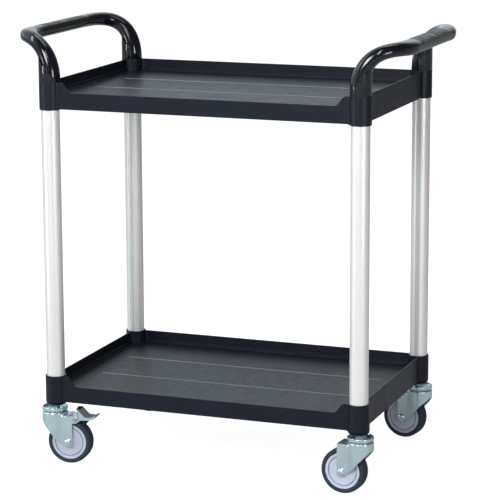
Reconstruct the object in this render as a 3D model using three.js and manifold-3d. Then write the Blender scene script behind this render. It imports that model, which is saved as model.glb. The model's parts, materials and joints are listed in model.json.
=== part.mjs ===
// A two-tier food service trolley: two moulded trays on four aluminium posts, a moulded push handle
// at each end, and four swivel casters, two of them with a foot brake.
//
// Millimetres, +Z up. X runs along the trolley, from handle to handle. Y runs across it, and the
// low front lips of the trays face -Y. The origin is on the floor, under the middle.

import * as THREE from 'three';
import { mergeVertices } from 'three/addons/utils/BufferGeometryUtils.js';
import Module from 'manifold-3d';

const wasm = await Module();
wasm.setup();

// ---------------------------------------------------------------- driving dimensions

const POST_SPACING_X = 662; // between post axes, along the trolley
const POST_SPACING_Y = 418; // between post axes, across it
const POST_DIAMETER = 38;
const POST_WALL = 1.8;
const COLLAR_DIAMETER = 44; // the tray sockets that hold the posts
const COLLAR_HEIGHT = 58;
const LOWER_COLLAR_BOTTOM = 129; // above the floor
const UPPER_COLLAR_TOP = 801.5;
const WHEEL_DIAMETER = 93;
const WHEEL_WIDTH = 28;
const CASTER_TRAIL = 34; // from the swivel axis to the axle
const CASTER_OFFSET = 4; // from the post axis out to the swivel axis, along the trolley
const HANDLE_RISE = 87; // from the top of the upper collars to the middle of the grip
const HANDLE_REACH = 74; // from the post axis out to the middle of the grip

// ---------------------------------------------------------------- derived dimensions

const GAP = 0.3; // clearance between pieces that touch
const HALF_X = POST_SPACING_X / 2;
const HALF_Y = POST_SPACING_Y / 2;
const POST_RADIUS = POST_DIAMETER / 2;
const POST_BORE = POST_RADIUS - POST_WALL;
const COLLAR_RADIUS = COLLAR_DIAMETER / 2;
const SPIGOT_RADIUS = POST_BORE - GAP; // what plugs into the ends of a post
const ROUND = 20; // sides of the large round pieces
const SMALL_ROUND = 10; // sides of pins, bolts and their holes

// the four corners: side is -1 on the left and 1 on the right, end is -1 in front and 1 behind,
// and heading is the direction in which the caster's wheel trails, in degrees
const CORNERS = [
  { name: 'front_left', side: -1, end: -1, heading: 6, braked: true },
  { name: 'front_right', side: 1, end: -1, heading: 175, braked: false },
  { name: 'rear_left', side: -1, end: 1, heading: 8, braked: true },
  { name: 'rear_right', side: 1, end: 1, heading: 171, braked: false },
];

// ---------------------------------------------------------------- materials

function finish(color, roughness, metalness) {
  return new THREE.MeshStandardMaterial({ color, roughness, metalness });
}

const FINISH = {
  tray: finish(0x1d2029, 0.5, 0),
  handle: finish(0x14161b, 0.22, 0),
  post: finish(0xdfe2e2, 0.38, 0.9),
  plug: finish(0x101114, 0.6, 0),
  zinc: finish(0xc3cdd2, 0.28, 0.95),
  steel: finish(0xb4b9bd, 0.35, 0.95),
  wheel: finish(0xb9bfcb, 0.5, 0),
  tyre: finish(0x2b3344, 0.65, 0),
  pedal: finish(0x6f7080, 0.45, 0),
};

// ---------------------------------------------------------------- solids

// A manifold-3d solid from a closed three.js geometry.
function solid(geometry) {
  const bare = new THREE.BufferGeometry();
  bare.setAttribute('position', geometry.getAttribute('position').clone());
  if (geometry.index) {
    bare.setIndex(geometry.index.clone());
  }
  const welded = mergeVertices(bare, 1e-4);
  return new wasm.Manifold(
    new wasm.Mesh({
      numProp: 3,
      vertProperties: new Float32Array(welded.getAttribute('position').array),
      triVerts: new Uint32Array(welded.index.array),
    }),
  );
}

// The three.js geometry of a manifold-3d solid.
function geometryOf(body) {
  const mesh = body.getMesh();
  const geometry = new THREE.BufferGeometry();
  geometry.setAttribute('position', new THREE.BufferAttribute(new Float32Array(mesh.vertProperties), 3));
  geometry.setIndex(new THREE.BufferAttribute(new Uint32Array(mesh.triVerts), 1));
  geometry.computeVertexNormals();
  return geometry;
}

function joined(first, ...others) {
  return others.reduce((body, other) => body.add(other), first);
}

function cut(first, ...tools) {
  return tools.reduce((body, tool) => body.subtract(tool), first);
}

// A box between two corners.
function block(low, high) {
  const size = high.map((value, axis) => value - low[axis]);
  const geometry = new THREE.BoxGeometry(...size);
  geometry.translate(...low.map((value, axis) => value + size[axis] / 2));
  return solid(geometry);
}

// An upright cylinder or cone frustum.
function drum(x, y, low, high, lowRadius, highRadius = lowRadius, sides = ROUND) {
  const geometry = new THREE.CylinderGeometry(highRadius, lowRadius, high - low, sides);
  geometry.rotateX(Math.PI / 2);
  geometry.translate(x, y, (low + high) / 2);
  return solid(geometry);
}

// A cylinder that lies across a caster, centred on y = 0.
function crossPin(x, z, radius, length, sides = SMALL_ROUND) {
  const geometry = new THREE.CylinderGeometry(radius, radius, length, sides);
  geometry.translate(x, 0, z);
  return solid(geometry);
}

// A plan outline, in x and y, raised from one height to another.
function raised(shape, low, high, curveSegments = 5) {
  const geometry = new THREE.ExtrudeGeometry(shape, { depth: high - low, bevelEnabled: false, curveSegments });
  geometry.translate(0, 0, low);
  return solid(geometry);
}

// A side outline, in x and z, drawn out from y = from to y = to.
function drawnAcross(shape, from, to, curveSegments = 5) {
  const geometry = new THREE.ExtrudeGeometry(shape, { depth: to - from, bevelEnabled: false, curveSegments });
  geometry.rotateX(Math.PI / 2);
  geometry.translate(0, to, 0);
  return solid(geometry);
}

function polygon(points) {
  return new THREE.Shape(points.map(([x, y]) => new THREE.Vector2(x, y)));
}

// A profile of [radius, height] points, turned about the upright axis. It closes on itself.
function turned(profile, sides = ROUND) {
  const points = [...profile, profile[0]].map(([radius, height]) => new THREE.Vector2(radius, height));
  const geometry = new THREE.LatheGeometry(points, sides);
  geometry.rotateX(Math.PI / 2);
  return solid(geometry);
}

// The same, turned about a caster's axle, with heights along y.
function turnedOnAxle(profile, sides = ROUND) {
  const points = [...profile, profile[0]].map(([radius, height]) => new THREE.Vector2(radius, height));
  return solid(new THREE.LatheGeometry(points, sides));
}

// A whole profile from its half at y > 0, which runs outwards.
function bothSides(half) {
  return [...half.map(([radius, y]) => [radius, -y]), ...[...half].reverse()];
}

function part(name, body, material) {
  const geometry = body.isBufferGeometry ? body : geometryOf(body);
  const mesh = new THREE.Mesh(geometry, material);
  mesh.name = name;
  return mesh;
}

// ---------------------------------------------------------------- post screws

// One self-tapping screw in each upper collar fixes the tray, the post and the handle's spigot
// together. It is driven from under the tray floor, outwards along the corner's diagonal.
const SCREW = { drop: 37, headRadius: 4, headThickness: 2.4, shankRadius: 2, tip: 12.5, sides: 8 };

// A rod along +X between two distances from the post axis, at the screw's height below the collar top.
function screwRod(from, to, radius) {
  const geometry = new THREE.CylinderGeometry(radius, radius, to - from, SCREW.sides);
  geometry.rotateZ(Math.PI / 2);
  geometry.translate((from + to) / 2, 0, -SCREW.drop);
  return geometry;
}

// Turned towards the middle of the tray and moved to its corner, with z = 0 at the collar top.
function atCorner(geometry, corner, top = 0) {
  const placed = geometry.clone();
  placed.rotateZ(Math.atan2(-corner.end, -corner.side));
  placed.translate(corner.side * HALF_X, corner.end * HALF_Y, top);
  return placed;
}

function screwHole(corner, top = 0) {
  const beyond = COLLAR_RADIUS + 6;
  return solid(atCorner(screwRod(SCREW.tip - GAP, beyond, SCREW.shankRadius + GAP), corner, top));
}

function postScrew(corner) {
  const seat = COLLAR_RADIUS + GAP;
  const shank = solid(screwRod(SCREW.tip, seat + 0.5, SCREW.shankRadius));
  const head = solid(screwRod(seat, seat + SCREW.headThickness, SCREW.headRadius));
  const geometry = atCorner(geometryOf(joined(shank, head)), corner, UPPER_COLLAR_TOP);
  return part(`post_screw_${corner.name}`, geometry, FINISH.steel);
}

// ---------------------------------------------------------------- trays

// Heights are measured down from the top of the collars, which is z = 0 while a tray is built.
const TRAY = {
  rim: 1.5,
  frontLip: 21.5,
  floor: 27,
  floorThickness: 3.2,
  skirt: COLLAR_HEIGHT - 2,
  wall: 3.5,
  endOverhang: 7, // from the post axes out to the end panels
  sideOverhang: 8.5, // and to the front and rear panels
  ledgeHeight: 6,
  ledgeWidth: 3,
  lipStart: 26, // the front lip falls between these distances from the post axis
  lipEnd: 53,
  ribDepth: 8,
  ribWidth: 3,
  beadHeight: 1,
  beadWidth: 6,
  beadInset: 42, // from the post axes to the ends of the beads on the floor
};

// What is cut from the front panel: a long shallow bay with S-shaped ends.
function frontBay() {
  const start = HALF_X - TRAY.lipStart;
  const end = HALF_X - TRAY.lipEnd;
  const middle = (start + end) / 2;
  const bay = new THREE.Shape();
  bay.moveTo(-start, -TRAY.rim);
  bay.bezierCurveTo(-middle, -TRAY.rim, -middle, -TRAY.frontLip, -end, -TRAY.frontLip);
  bay.lineTo(end, -TRAY.frontLip);
  bay.bezierCurveTo(middle, -TRAY.frontLip, middle, -TRAY.rim, start, -TRAY.rim);
  bay.lineTo(start, 1);
  bay.lineTo(-start, 1);
  const front = -HALF_Y - TRAY.sideOverhang;
  return drawnAcross(bay, front - 1, front + TRAY.wall + TRAY.ledgeWidth + 0.5, 6);
}

function tray() {
  const outerX = HALF_X + TRAY.endOverhang;
  const outerY = HALF_Y + TRAY.sideOverhang;
  const innerX = outerX - TRAY.wall;
  const innerY = outerY - TRAY.wall;
  const ledgeTop = -TRAY.floor + TRAY.ledgeHeight;
  const underside = -TRAY.floor - TRAY.floorThickness;

  let body = block([-outerX, -outerY, -TRAY.skirt], [outerX, outerY, -TRAY.rim]);
  body = cut(
    body,
    block([-innerX, -innerY, ledgeTop], [innerX, innerY, 1]),
    block(
      [-innerX + TRAY.ledgeWidth, -innerY + TRAY.ledgeWidth, -TRAY.floor],
      [innerX - TRAY.ledgeWidth, innerY - TRAY.ledgeWidth, ledgeTop + 1],
    ),
    block([-innerX, -innerY, -TRAY.skirt - 1], [innerX, innerY, underside]),
    frontBay(),
  );

  const thirdOfDepth = innerY / 3;
  const beadLength = HALF_X - TRAY.beadInset;
  for (const y of [-thirdOfDepth, thirdOfDepth]) {
    const ribLow = [-innerX - 1, y - TRAY.ribWidth / 2, underside - TRAY.ribDepth];
    const ribHigh = [innerX + 1, y + TRAY.ribWidth / 2, underside + 1];
    const beadLow = [-beadLength, y - TRAY.beadWidth / 2, -TRAY.floor - 1];
    const beadHigh = [beadLength, y + TRAY.beadWidth / 2, -TRAY.floor + TRAY.beadHeight];
    body = joined(body, block(ribLow, ribHigh), block(beadLow, beadHigh));
  }
  for (const x of [-innerX / 2, 0, innerX / 2]) {
    const ribLow = [x - TRAY.ribWidth / 2, -innerY - 1, underside - TRAY.ribDepth];
    const ribHigh = [x + TRAY.ribWidth / 2, innerY + 1, underside + 1];
    body = joined(body, block(ribLow, ribHigh));
  }

  for (const { side, end } of CORNERS) {
    const x = side * HALF_X;
    const y = end * HALF_Y;
    body = joined(body, drum(x, y, -COLLAR_HEIGHT, 0, COLLAR_RADIUS));
    body = cut(body, drum(x, y, -COLLAR_HEIGHT - 1, 1, POST_RADIUS + GAP));
  }
  return body;
}

function trays() {
  const plain = tray();
  const drilled = cut(plain, ...CORNERS.map((corner) => screwHole(corner)));
  const lower = part('lower_shelf', plain, FINISH.tray);
  lower.position.z = LOWER_COLLAR_BOTTOM + COLLAR_HEIGHT;
  const upper = part('upper_shelf', drilled, FINISH.tray);
  upper.position.z = UPPER_COLLAR_TOP;
  return [upper, lower];
}

// ---------------------------------------------------------------- posts and their plugs

const CHANNEL = { width: 10, depth: 0.9 }; // the shallow slot down the inner side of each post
const PLUG = { depth: 40, flange: 4.2, flangeTop: 21.5, flangeBottom: 18.5 };
const STEM = {
  radius: 6,
  top: 166,
  hexAcross: 19,
  hexTop: 124.2,
  rivetRadius: 9,
  rivetBottom: 102.6,
  rivetTop: 106.4,
};

function post(corner) {
  const halfAngle = Math.asin(CHANNEL.width / 2 / POST_RADIUS);
  const inward = -corner.end * (Math.PI / 2);
  const outline = new THREE.Shape();
  outline.absarc(0, 0, POST_RADIUS, inward + halfAngle, inward - halfAngle + 2 * Math.PI, false);
  outline.absarc(0, 0, POST_RADIUS - CHANNEL.depth, inward - halfAngle, inward + halfAngle, false);
  const low = LOWER_COLLAR_BOTTOM;
  let body = raised(outline, low, UPPER_COLLAR_TOP - GAP / 2, ROUND / 2);
  body = cut(body, drum(0, 0, low - 1, UPPER_COLLAR_TOP + 1, POST_BORE));
  const placed = geometryOf(body).translate(corner.side * HALF_X, corner.end * HALF_Y, 0);
  return part(`post_${corner.name}`, cut(solid(placed), screwHole(corner, UPPER_COLLAR_TOP)), FINISH.post);
}

// The plug fills the foot of a post. Its bore, for the stem, is off its middle by the caster's offset.
function stemPlug(corner) {
  const top = LOWER_COLLAR_BOTTOM - GAP;
  const postX = -corner.side * CASTER_OFFSET;
  const flange = drum(postX, 0, top - PLUG.flange, top, PLUG.flangeBottom, PLUG.flangeTop);
  const body = drum(postX, 0, top - 1, top + PLUG.depth, SPIGOT_RADIUS);
  const bore = drum(0, 0, top - PLUG.flange - 1, top + PLUG.depth + 1, STEM.radius + GAP, undefined, SMALL_ROUND);
  return cut(joined(flange, body), bore);
}

// ---------------------------------------------------------------- handles

// The tube of a handle has a flattened section: across is half its size in plan, thick is half its
// size through the bend. Both change from the leg, past the middle of the bend, to the grip.
const TUBE = {
  across: [20, 16.1, 19],
  thick: [18, 14.1, 14.1],
  squareness: [2, 2.6], // exponents of the rounded section, at the leg and at the grip
  tilt: THREE.MathUtils.degToRad(8), // the grip's outer edge is the lower one
  sides: 14,
  bendSteps: 8,
};
const BEND = { rise: 98, sweep: 94, runIn: 91 }; // the tangent lengths and the run along y of a bend
const LEG = { height: 54, spigot: 42 };

function easeBetween(values, t) {
  const [start, middle, end] = values;
  return t < 0.5
    ? THREE.MathUtils.lerp(start, middle, THREE.MathUtils.smoothstep(t, 0, 0.5))
    : THREE.MathUtils.lerp(middle, end, THREE.MathUtils.smoothstep(t, 0.5, 1));
}

// The middle line of the bend above the front leg, with x = 0 on the post axis and z = 0 at the seam.
function bendCurve() {
  const start = TUBE.thick[0] - COLLAR_RADIUS;
  const gripStart = -HALF_Y + BEND.runIn;
  return new THREE.CubicBezierCurve3(
    new THREE.Vector3(start, -HALF_Y, 0),
    new THREE.Vector3(start, -HALF_Y, BEND.rise),
    new THREE.Vector3(HANDLE_REACH, gripStart - BEND.sweep, HANDLE_RISE),
    new THREE.Vector3(HANDLE_REACH, gripStart, HANDLE_RISE),
  );
}

// One section of the tube: its centre, and its two half axes in space.
function tubeSection(curve, t) {
  const centre = curve.getPoint(t);
  const along = curve.getTangent(t);
  const turn = THREE.MathUtils.smoothstep(t, 0, 1);
  const through = new THREE.Vector3(turn - 1, 0, turn).projectOnPlane(along).normalize();
  const across = new THREE.Vector3().crossVectors(along, through);
  const tilt = -TUBE.tilt * THREE.MathUtils.smoothstep(t, 0.3, 0.9);
  through.applyAxisAngle(along, -tilt);
  across.applyAxisAngle(along, -tilt);
  return {
    centre,
    across: across.multiplyScalar(easeBetween(TUBE.across, t)),
    through: through.multiplyScalar(easeBetween(TUBE.thick, t)),
    exponent: THREE.MathUtils.lerp(...TUBE.squareness, turn),
  };
}

function roundedPower(value, exponent) {
  return Math.sign(value) * Math.abs(value) ** (2 / exponent);
}

// The whole tube, from leg to leg: a closed cylinder whose rings are moved onto the sections. The
// second half is the mirror image of the first across y = 0.
function tube() {
  const curve = bendCurve();
  const rings = 2 * TUBE.bendSteps + 1;
  const geometry = new THREE.CylinderGeometry(1, 1, rings, TUBE.sides, rings);
  const position = geometry.getAttribute('position');
  const point = new THREE.Vector3();
  for (let i = 0; i < position.count; i += 1) {
    const ring = Math.round(rings / 2 + position.getY(i));
    const mirrored = ring > TUBE.bendSteps;
    const step = mirrored ? rings - ring : ring;
    const section = tubeSection(curve, step / TUBE.bendSteps);
    const size = Math.hypot(position.getX(i), position.getZ(i));
    const scale = size > 0.5 ? 1 : 0; // the middle of an end cap
    point.copy(section.centre);
    point.addScaledVector(section.across, scale * roundedPower(position.getX(i), section.exponent));
    point.addScaledVector(section.through, scale * roundedPower(position.getZ(i), section.exponent));
    position.setXYZ(i, point.x, mirrored ? -point.y : point.y, point.z);
  }
  return solid(geometry);
}

// A leg stands on its collar. Its top is cut on a slope, from nothing inside to full height outside.
function leg(y) {
  const slope = polygon([
    [-COLLAR_RADIUS - 1, -1],
    [COLLAR_RADIUS + 1, -1],
    [COLLAR_RADIUS + 1, LEG.height],
    [-COLLAR_RADIUS - 1, 1],
  ]);
  const column = drum(0, y, GAP / 2, LEG.height, COLLAR_RADIUS);
  const wedge = column.intersect(drawnAcross(slope, -HALF_Y - COLLAR_RADIUS - 1, HALF_Y + COLLAR_RADIUS + 1));
  return joined(wedge, drum(0, y, -LEG.spigot, LEG.height / 4, SPIGOT_RADIUS));
}

function handles() {
  const lowPlane = block([-60, -HALF_Y - 60, -20], [60, HALF_Y + 60, GAP / 2]);
  const body = joined(cut(tube(), lowPlane), leg(-HALF_Y), leg(HALF_Y));
  return [
    { name: 'right_handle', side: 1, turn: 0 },
    { name: 'left_handle', side: -1, turn: Math.PI },
  ].map(({ name, side, turn }) => {
    const placed = geometryOf(body).rotateZ(turn);
    placed.translate(side * HALF_X, 0, UPPER_COLLAR_TOP);
    const holes = CORNERS.filter((corner) => corner.side === side);
    const drilled = cut(solid(placed), ...holes.map((corner) => screwHole(corner, UPPER_COLLAR_TOP)));
    return part(name, drilled, FINISH.handle);
  });
}

// ---------------------------------------------------------------- casters

// A caster is built about its swivel axis, with the floor at z = 0. Its stem and cup are fixed to the
// trolley, and what swivels is built with the wheel trailing along +X and then turned to its heading.
const WHEEL_RADIUS = WHEEL_DIAMETER / 2;
const HALF_WHEEL = WHEEL_WIDTH / 2;
const CUP = { radius: 27, bottom: 112, floor: 114.6, rim: 119.6, wall: 2.2 };
const RACE = { inner: 14, outer: 23.5, bottom: 109.8, top: 111.7 };
const FORK = {
  ringRadius: 26.7,
  ringTop: 109.5,
  ringRound: 2.5,
  plateTop: 105,
  sheet: 2.5,
  halfWidth: 20,
  front: CASTER_TRAIL + 9,
  flatStart: 17, // where the flat side plates begin to flare out to the ring
  eyeRadius: 10.5,
  backHeight: 96, // where the sloping lower edge leaves the back of the ring
};
const AXLE = { radius: 4, headRadius: 7.5, headThickness: 4.5, sleeveRadius: 6, seat: FORK.halfWidth + GAP };
const BRAKE = {
  pivot: [50, 97],
  pinRadius: 2.8,
  pinHead: 4.6,
  leverHalfWidth: 16.6,
  pedalHalfWidth: 14.6,
  shoeRadius: WHEEL_RADIUS + 4.9,
  shoeThickness: 5.5,
  shoeFrom: THREE.MathUtils.degToRad(48),
  shoeTo: THREE.MathUtils.degToRad(67),
  shoeHalfWidth: 12,
};

// The fork's plan outline: flat cheeks that flare out into the round back. A negative inset grows it.
function forkPlan(inset, front) {
  const radius = FORK.ringRadius - inset;
  const halfWidth = FORK.halfWidth - inset;
  const tangent = 1.2; // radians round from +X at which the cheek joins the ring
  const joinX = radius * Math.cos(tangent);
  const joinY = radius * Math.sin(tangent);
  const plan = new THREE.Shape();
  plan.moveTo(front, -halfWidth);
  plan.lineTo(front, halfWidth);
  plan.lineTo(FORK.flatStart + 4, halfWidth);
  plan.quadraticCurveTo(FORK.flatStart, halfWidth, joinX, joinY);
  plan.absarc(0, 0, radius, tangent, 2 * Math.PI - tangent, false);
  plan.quadraticCurveTo(FORK.flatStart, -halfWidth, FORK.flatStart + 4, -halfWidth);
  plan.lineTo(front, -halfWidth);
  return plan;
}

// The fork's side outline: a sloping lower edge behind, and a round eye about the axle.
function forkSide(braked) {
  const side = new THREE.Shape();
  const eye = FORK.eyeRadius;
  const slope = Math.atan2(FORK.backHeight - WHEEL_RADIUS, CASTER_TRAIL + FORK.ringRadius);
  side.moveTo(-FORK.ringRadius - 2, FORK.plateTop + 1);
  side.lineTo(-FORK.ringRadius - 2, FORK.backHeight);
  side.lineTo(CASTER_TRAIL - 16 - eye * Math.sin(slope), WHEEL_RADIUS + 5);
  side.absarc(CASTER_TRAIL, WHEEL_RADIUS, eye, Math.PI * 1.12, Math.PI * 1.9, false);
  side.lineTo(FORK.front, WHEEL_RADIUS + 3);
  if (braked) {
    const [pivotX, pivotZ] = BRAKE.pivot;
    side.lineTo(FORK.front, pivotZ - 9);
    side.quadraticCurveTo(pivotX, pivotZ - 9, pivotX + 5, pivotZ - 4);
    side.lineTo(pivotX + 4, pivotZ + 8);
    side.quadraticCurveTo(pivotX + 1, pivotZ + 20, pivotX - 3, pivotZ + 12);
    side.lineTo(FORK.front, FORK.plateTop + 1);
  } else {
    side.lineTo(FORK.front, FORK.plateTop + 1);
  }
  return side;
}

function fork(braked) {
  const reach = braked ? BRAKE.pivot[0] + 12 : FORK.front;
  const top = braked ? BRAKE.pivot[1] + 16 : FORK.plateTop;
  const shell = cut(
    raised(forkPlan(0, reach), 0, top),
    raised(forkPlan(FORK.sheet, reach + 1), -1, FORK.plateTop - FORK.sheet),
    block([-FORK.front, -FORK.halfWidth * 2, FORK.plateTop], [FORK.flatStart + 12, FORK.halfWidth * 2, top + 1]),
    block([0, FORK.sheet - FORK.halfWidth, FORK.plateTop], [reach + 1, FORK.halfWidth - FORK.sheet, top + 1]),
    block(
      [FORK.front, FORK.sheet - FORK.halfWidth, 0],
      [reach + 1, FORK.halfWidth - FORK.sheet, FORK.plateTop + 1],
    ),
  );
  const outline = drawnAcross(forkSide(braked), -FORK.ringRadius - 1, FORK.ringRadius + 1, 4);
  const under = FORK.plateTop - FORK.sheet;
  const ring = turned([
    [STEM.radius + GAP, FORK.ringTop],
    [STEM.radius + GAP, FORK.ringTop - FORK.sheet],
    [FORK.ringRadius - FORK.sheet, FORK.ringTop - FORK.sheet],
    [FORK.ringRadius - FORK.sheet, FORK.plateTop - 1],
    [FORK.ringRadius, FORK.plateTop - 1],
    [FORK.ringRadius, FORK.ringTop - FORK.ringRound],
    [FORK.ringRadius - FORK.ringRound, FORK.ringTop],
  ]);
  const room = drum(0, 0, under - 1, FORK.ringTop - FORK.sheet, FORK.ringRadius - FORK.sheet);
  let body = joined(cut(shell.intersect(outline), room), ring);
  body = cut(body, crossPin(CASTER_TRAIL, WHEEL_RADIUS, AXLE.radius + GAP, 60));
  if (braked) {
    body = cut(body, crossPin(...BRAKE.pivot, BRAKE.pinRadius + GAP, 60));
  }
  return body;
}

// The upper race, a dished cup whose floor the hexagon of the stem stands on.
function racewayCup() {
  const inner = CUP.radius - CUP.wall;
  return turned([
    [STEM.radius + GAP, CUP.bottom],
    [CUP.radius - 2, CUP.bottom],
    [CUP.radius, CUP.bottom + 2],
    [CUP.radius, CUP.rim - 1],
    [CUP.radius - 1, CUP.rim],
    [inner, CUP.rim],
    [inner - 1.5, CUP.floor],
    [STEM.radius + GAP, CUP.floor],
  ]);
}

function swivelBearing() {
  return turned([
    [RACE.inner, RACE.bottom],
    [RACE.outer, RACE.bottom],
    [RACE.outer, RACE.top],
    [RACE.inner, RACE.top],
  ]);
}

// The threaded stem: its hexagon clamps the plug, and the rivet head under the fork's crown carries
// the fork.
function stem() {
  const rod = drum(0, 0, STEM.rivetBottom + 1, STEM.top, STEM.radius, undefined, SMALL_ROUND);
  const rivet = drum(0, 0, STEM.rivetBottom, STEM.rivetTop, STEM.rivetRadius - 2, STEM.rivetRadius, SMALL_ROUND);
  const hexRadius = STEM.hexAcross / 2 / Math.cos(Math.PI / 6);
  const hexagon = drum(0, 0, CUP.floor + GAP, STEM.hexTop, hexRadius, undefined, 6);
  return joined(rod, rivet, hexagon);
}

function wheelCore() {
  const face = HALF_WHEEL - 1;
  const half = [
    [AXLE.sleeveRadius + GAP, HALF_WHEEL + 2.4],
    [11, HALF_WHEEL + 2.4],
    [12, face],
    [37, face],
  ];
  return turnedOnAxle(bothSides(half));
}

function tyre() {
  const half = [
    [37 + GAP, HALF_WHEEL - 1],
    [41.5, HALF_WHEEL],
    [WHEEL_RADIUS - 1.6, HALF_WHEEL - 1.4],
    [WHEEL_RADIUS, HALF_WHEEL - 4.5],
  ];
  return turnedOnAxle(bothSides(half));
}

function axleSleeve() {
  const half = FORK.halfWidth - FORK.sheet - GAP;
  return turnedOnAxle(
    [
      [AXLE.radius + GAP, -half],
      [AXLE.sleeveRadius, -half],
      [AXLE.sleeveRadius, half],
      [AXLE.radius + GAP, half],
    ],
    SMALL_ROUND,
  );
}

// A shallow dome outside a cheek: the bolt's head on one side, and its cap nut on the other.
function dome(radius, thickness, seat) {
  const points = [
    [0, seat],
    [radius, seat],
    [radius, seat + thickness * 0.45],
    [radius * 0.8, seat + thickness * 0.8],
    [radius * 0.42, seat + thickness],
    [0, seat + thickness],
  ].map(([r, y]) => new THREE.Vector2(r, y));
  return solid(new THREE.LatheGeometry(points, SMALL_ROUND));
}

function axleBolt() {
  const rod = solid(new THREE.CylinderGeometry(AXLE.radius, AXLE.radius, 2 * AXLE.seat + 1, SMALL_ROUND));
  const head = dome(AXLE.headRadius, AXLE.headThickness, AXLE.seat);
  return joined(rod, head);
}

function axleNut() {
  const nut = dome(AXLE.headRadius, AXLE.headThickness, AXLE.seat);
  const thread = new THREE.CylinderGeometry(AXLE.radius + GAP, AXLE.radius + GAP, 2, SMALL_ROUND);
  thread.translate(0, AXLE.seat, 0);
  return geometryOf(cut(nut, solid(thread))).rotateX(Math.PI);
}

// ---------------------------------------------------------------- brake

// The side outline of the pedal and of the lever's flanges beside it: a ridge over the pivot, a slope
// down to a valley, and a lip that turns up at its end. It starts at the pivot's side.
function pedalSide(start) {
  const [pivotX, pivotZ] = BRAKE.pivot;
  const outline = polygon(start.map(([x, z]) => [pivotX + x, pivotZ + z]));
  outline.lineTo(pivotX + 18, pivotZ - 1.5);
  outline.quadraticCurveTo(pivotX + 36, pivotZ - 0.5, pivotX + 43, pivotZ + 5);
  outline.lineTo(pivotX + 41.5, pivotZ + 8);
  outline.quadraticCurveTo(pivotX + 31, pivotZ + 3.5, pivotX + 21, pivotZ + 5);
  outline.lineTo(pivotX + 12, pivotZ + 13.5);
  outline.lineTo(pivotX + 5, pivotZ + 20.5);
  outline.lineTo(pivotX + 1, pivotZ + 20.5);
  return outline;
}

// The metal lever: cheeks about the pivot, flanges along the sides of the pedal, and an arm down to
// a shoe that follows the tyre.
function brakeLever() {
  const [pivotX, pivotZ] = BRAKE.pivot;
  const cheek = polygon([
    [pivotX - 5, pivotZ - 2],
    [pivotX - 2, pivotZ - 5.5],
    [pivotX + 5, pivotZ - 6],
    [pivotX + 13, pivotZ - 1],
    [pivotX + 13, pivotZ + 1],
    [pivotX + 4, pivotZ + 14],
    [pivotX - 1, pivotZ + 16],
    [pivotX - 4.5, pivotZ + 13],
  ]);
  const shoe = new THREE.Shape();
  const outer = BRAKE.shoeRadius + BRAKE.shoeThickness;
  shoe.absarc(CASTER_TRAIL, WHEEL_RADIUS, BRAKE.shoeRadius, BRAKE.shoeFrom, BRAKE.shoeTo, false);
  shoe.absarc(CASTER_TRAIL, WHEEL_RADIUS, outer, BRAKE.shoeTo, BRAKE.shoeFrom, true);
  const half = BRAKE.leverHalfWidth;
  const inside = BRAKE.pedalHalfWidth + GAP;
  const flange = pedalSide([[-1, 16], [4, 10], [10, 1], [13, -1.5]]);
  const body = joined(
    drawnAcross(cheek, -half, half),
    drawnAcross(flange, inside, half, 4),
    drawnAcross(flange, -half, -inside, 4),
    drawnAcross(shoe, -BRAKE.shoeHalfWidth, BRAKE.shoeHalfWidth, 4),
  );
  return cut(body, crossPin(pivotX, pivotZ, BRAKE.pinRadius + GAP, 60));
}

// The plastic pedal: a humped cover over the lever, and a lip for the shoe of a foot.
function brakePedal() {
  const outline = pedalSide([[-1, 16.8], [4.5, 14.6], [13.6, 1.4], [13.6, -1]]);
  return drawnAcross(outline, -BRAKE.pedalHalfWidth, BRAKE.pedalHalfWidth, 5);
}

function brakePin() {
  const [pivotX, pivotZ] = BRAKE.pivot;
  const span = 2 * AXLE.seat;
  const rod = crossPin(pivotX, pivotZ, BRAKE.pinRadius, span + 1);
  const heads = [-1, 1].map((side) => {
    const head = new THREE.CylinderGeometry(BRAKE.pinHead, BRAKE.pinHead, 1.8, SMALL_ROUND);
    head.translate(pivotX, side * (AXLE.seat + 0.9), pivotZ);
    return solid(head);
  });
  return joined(rod, ...heads);
}

// ---------------------------------------------------------------- assembly

function caster(corner) {
  const { name, braked } = corner;
  const group = new THREE.Group();
  group.position.set(corner.side * (HALF_X + CASTER_OFFSET), corner.end * HALF_Y, 0);
  group.add(
    part(`stem_plug_${name}`, stemPlug(corner), FINISH.plug),
    part(`stem_${name}`, stem(), FINISH.zinc),
    part(`raceway_cup_${name}`, racewayCup(), FINISH.zinc),
  );

  const swivel = new THREE.Group();
  swivel.rotation.z = THREE.MathUtils.degToRad(corner.heading);
  swivel.add(
    part(`swivel_bearing_${name}`, swivelBearing(), FINISH.steel),
    part(`fork_${name}`, fork(braked), FINISH.zinc),
  );
  group.add(swivel);

  const axle = new THREE.Group();
  axle.position.set(CASTER_TRAIL, 0, WHEEL_RADIUS);
  axle.add(
    part(`axle_bolt_${name}`, axleBolt(), FINISH.zinc),
    part(`axle_nut_${name}`, axleNut(), FINISH.zinc),
    part(`axle_sleeve_${name}`, axleSleeve(), FINISH.steel),
    part(`wheel_core_${name}`, wheelCore(), FINISH.wheel),
    part(`tyre_${name}`, tyre(), FINISH.tyre),
  );
  swivel.add(axle);

  if (braked) {
    swivel.add(
      part(`brake_lever_${name}`, brakeLever(), FINISH.zinc),
      part(`brake_pedal_${name}`, brakePedal(), FINISH.pedal),
      part(`brake_pin_${name}`, brakePin(), FINISH.steel),
    );
  }
  return group;
}

function trolley() {
  const group = new THREE.Group();
  group.add(...trays(), ...handles());
  for (const corner of CORNERS) {
    group.add(post(corner), postScrew(corner), caster(corner));
  }
  return group;
}

export default trolley();
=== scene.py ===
"""Looks for a two-tier food service trolley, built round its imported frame.

Lengths are in millimetres in every class and function, and mesh data is stored in metres. X runs from
handle to handle, Y from the low front lips of the trays to the back, and Z is up from the floor.
"""

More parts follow.
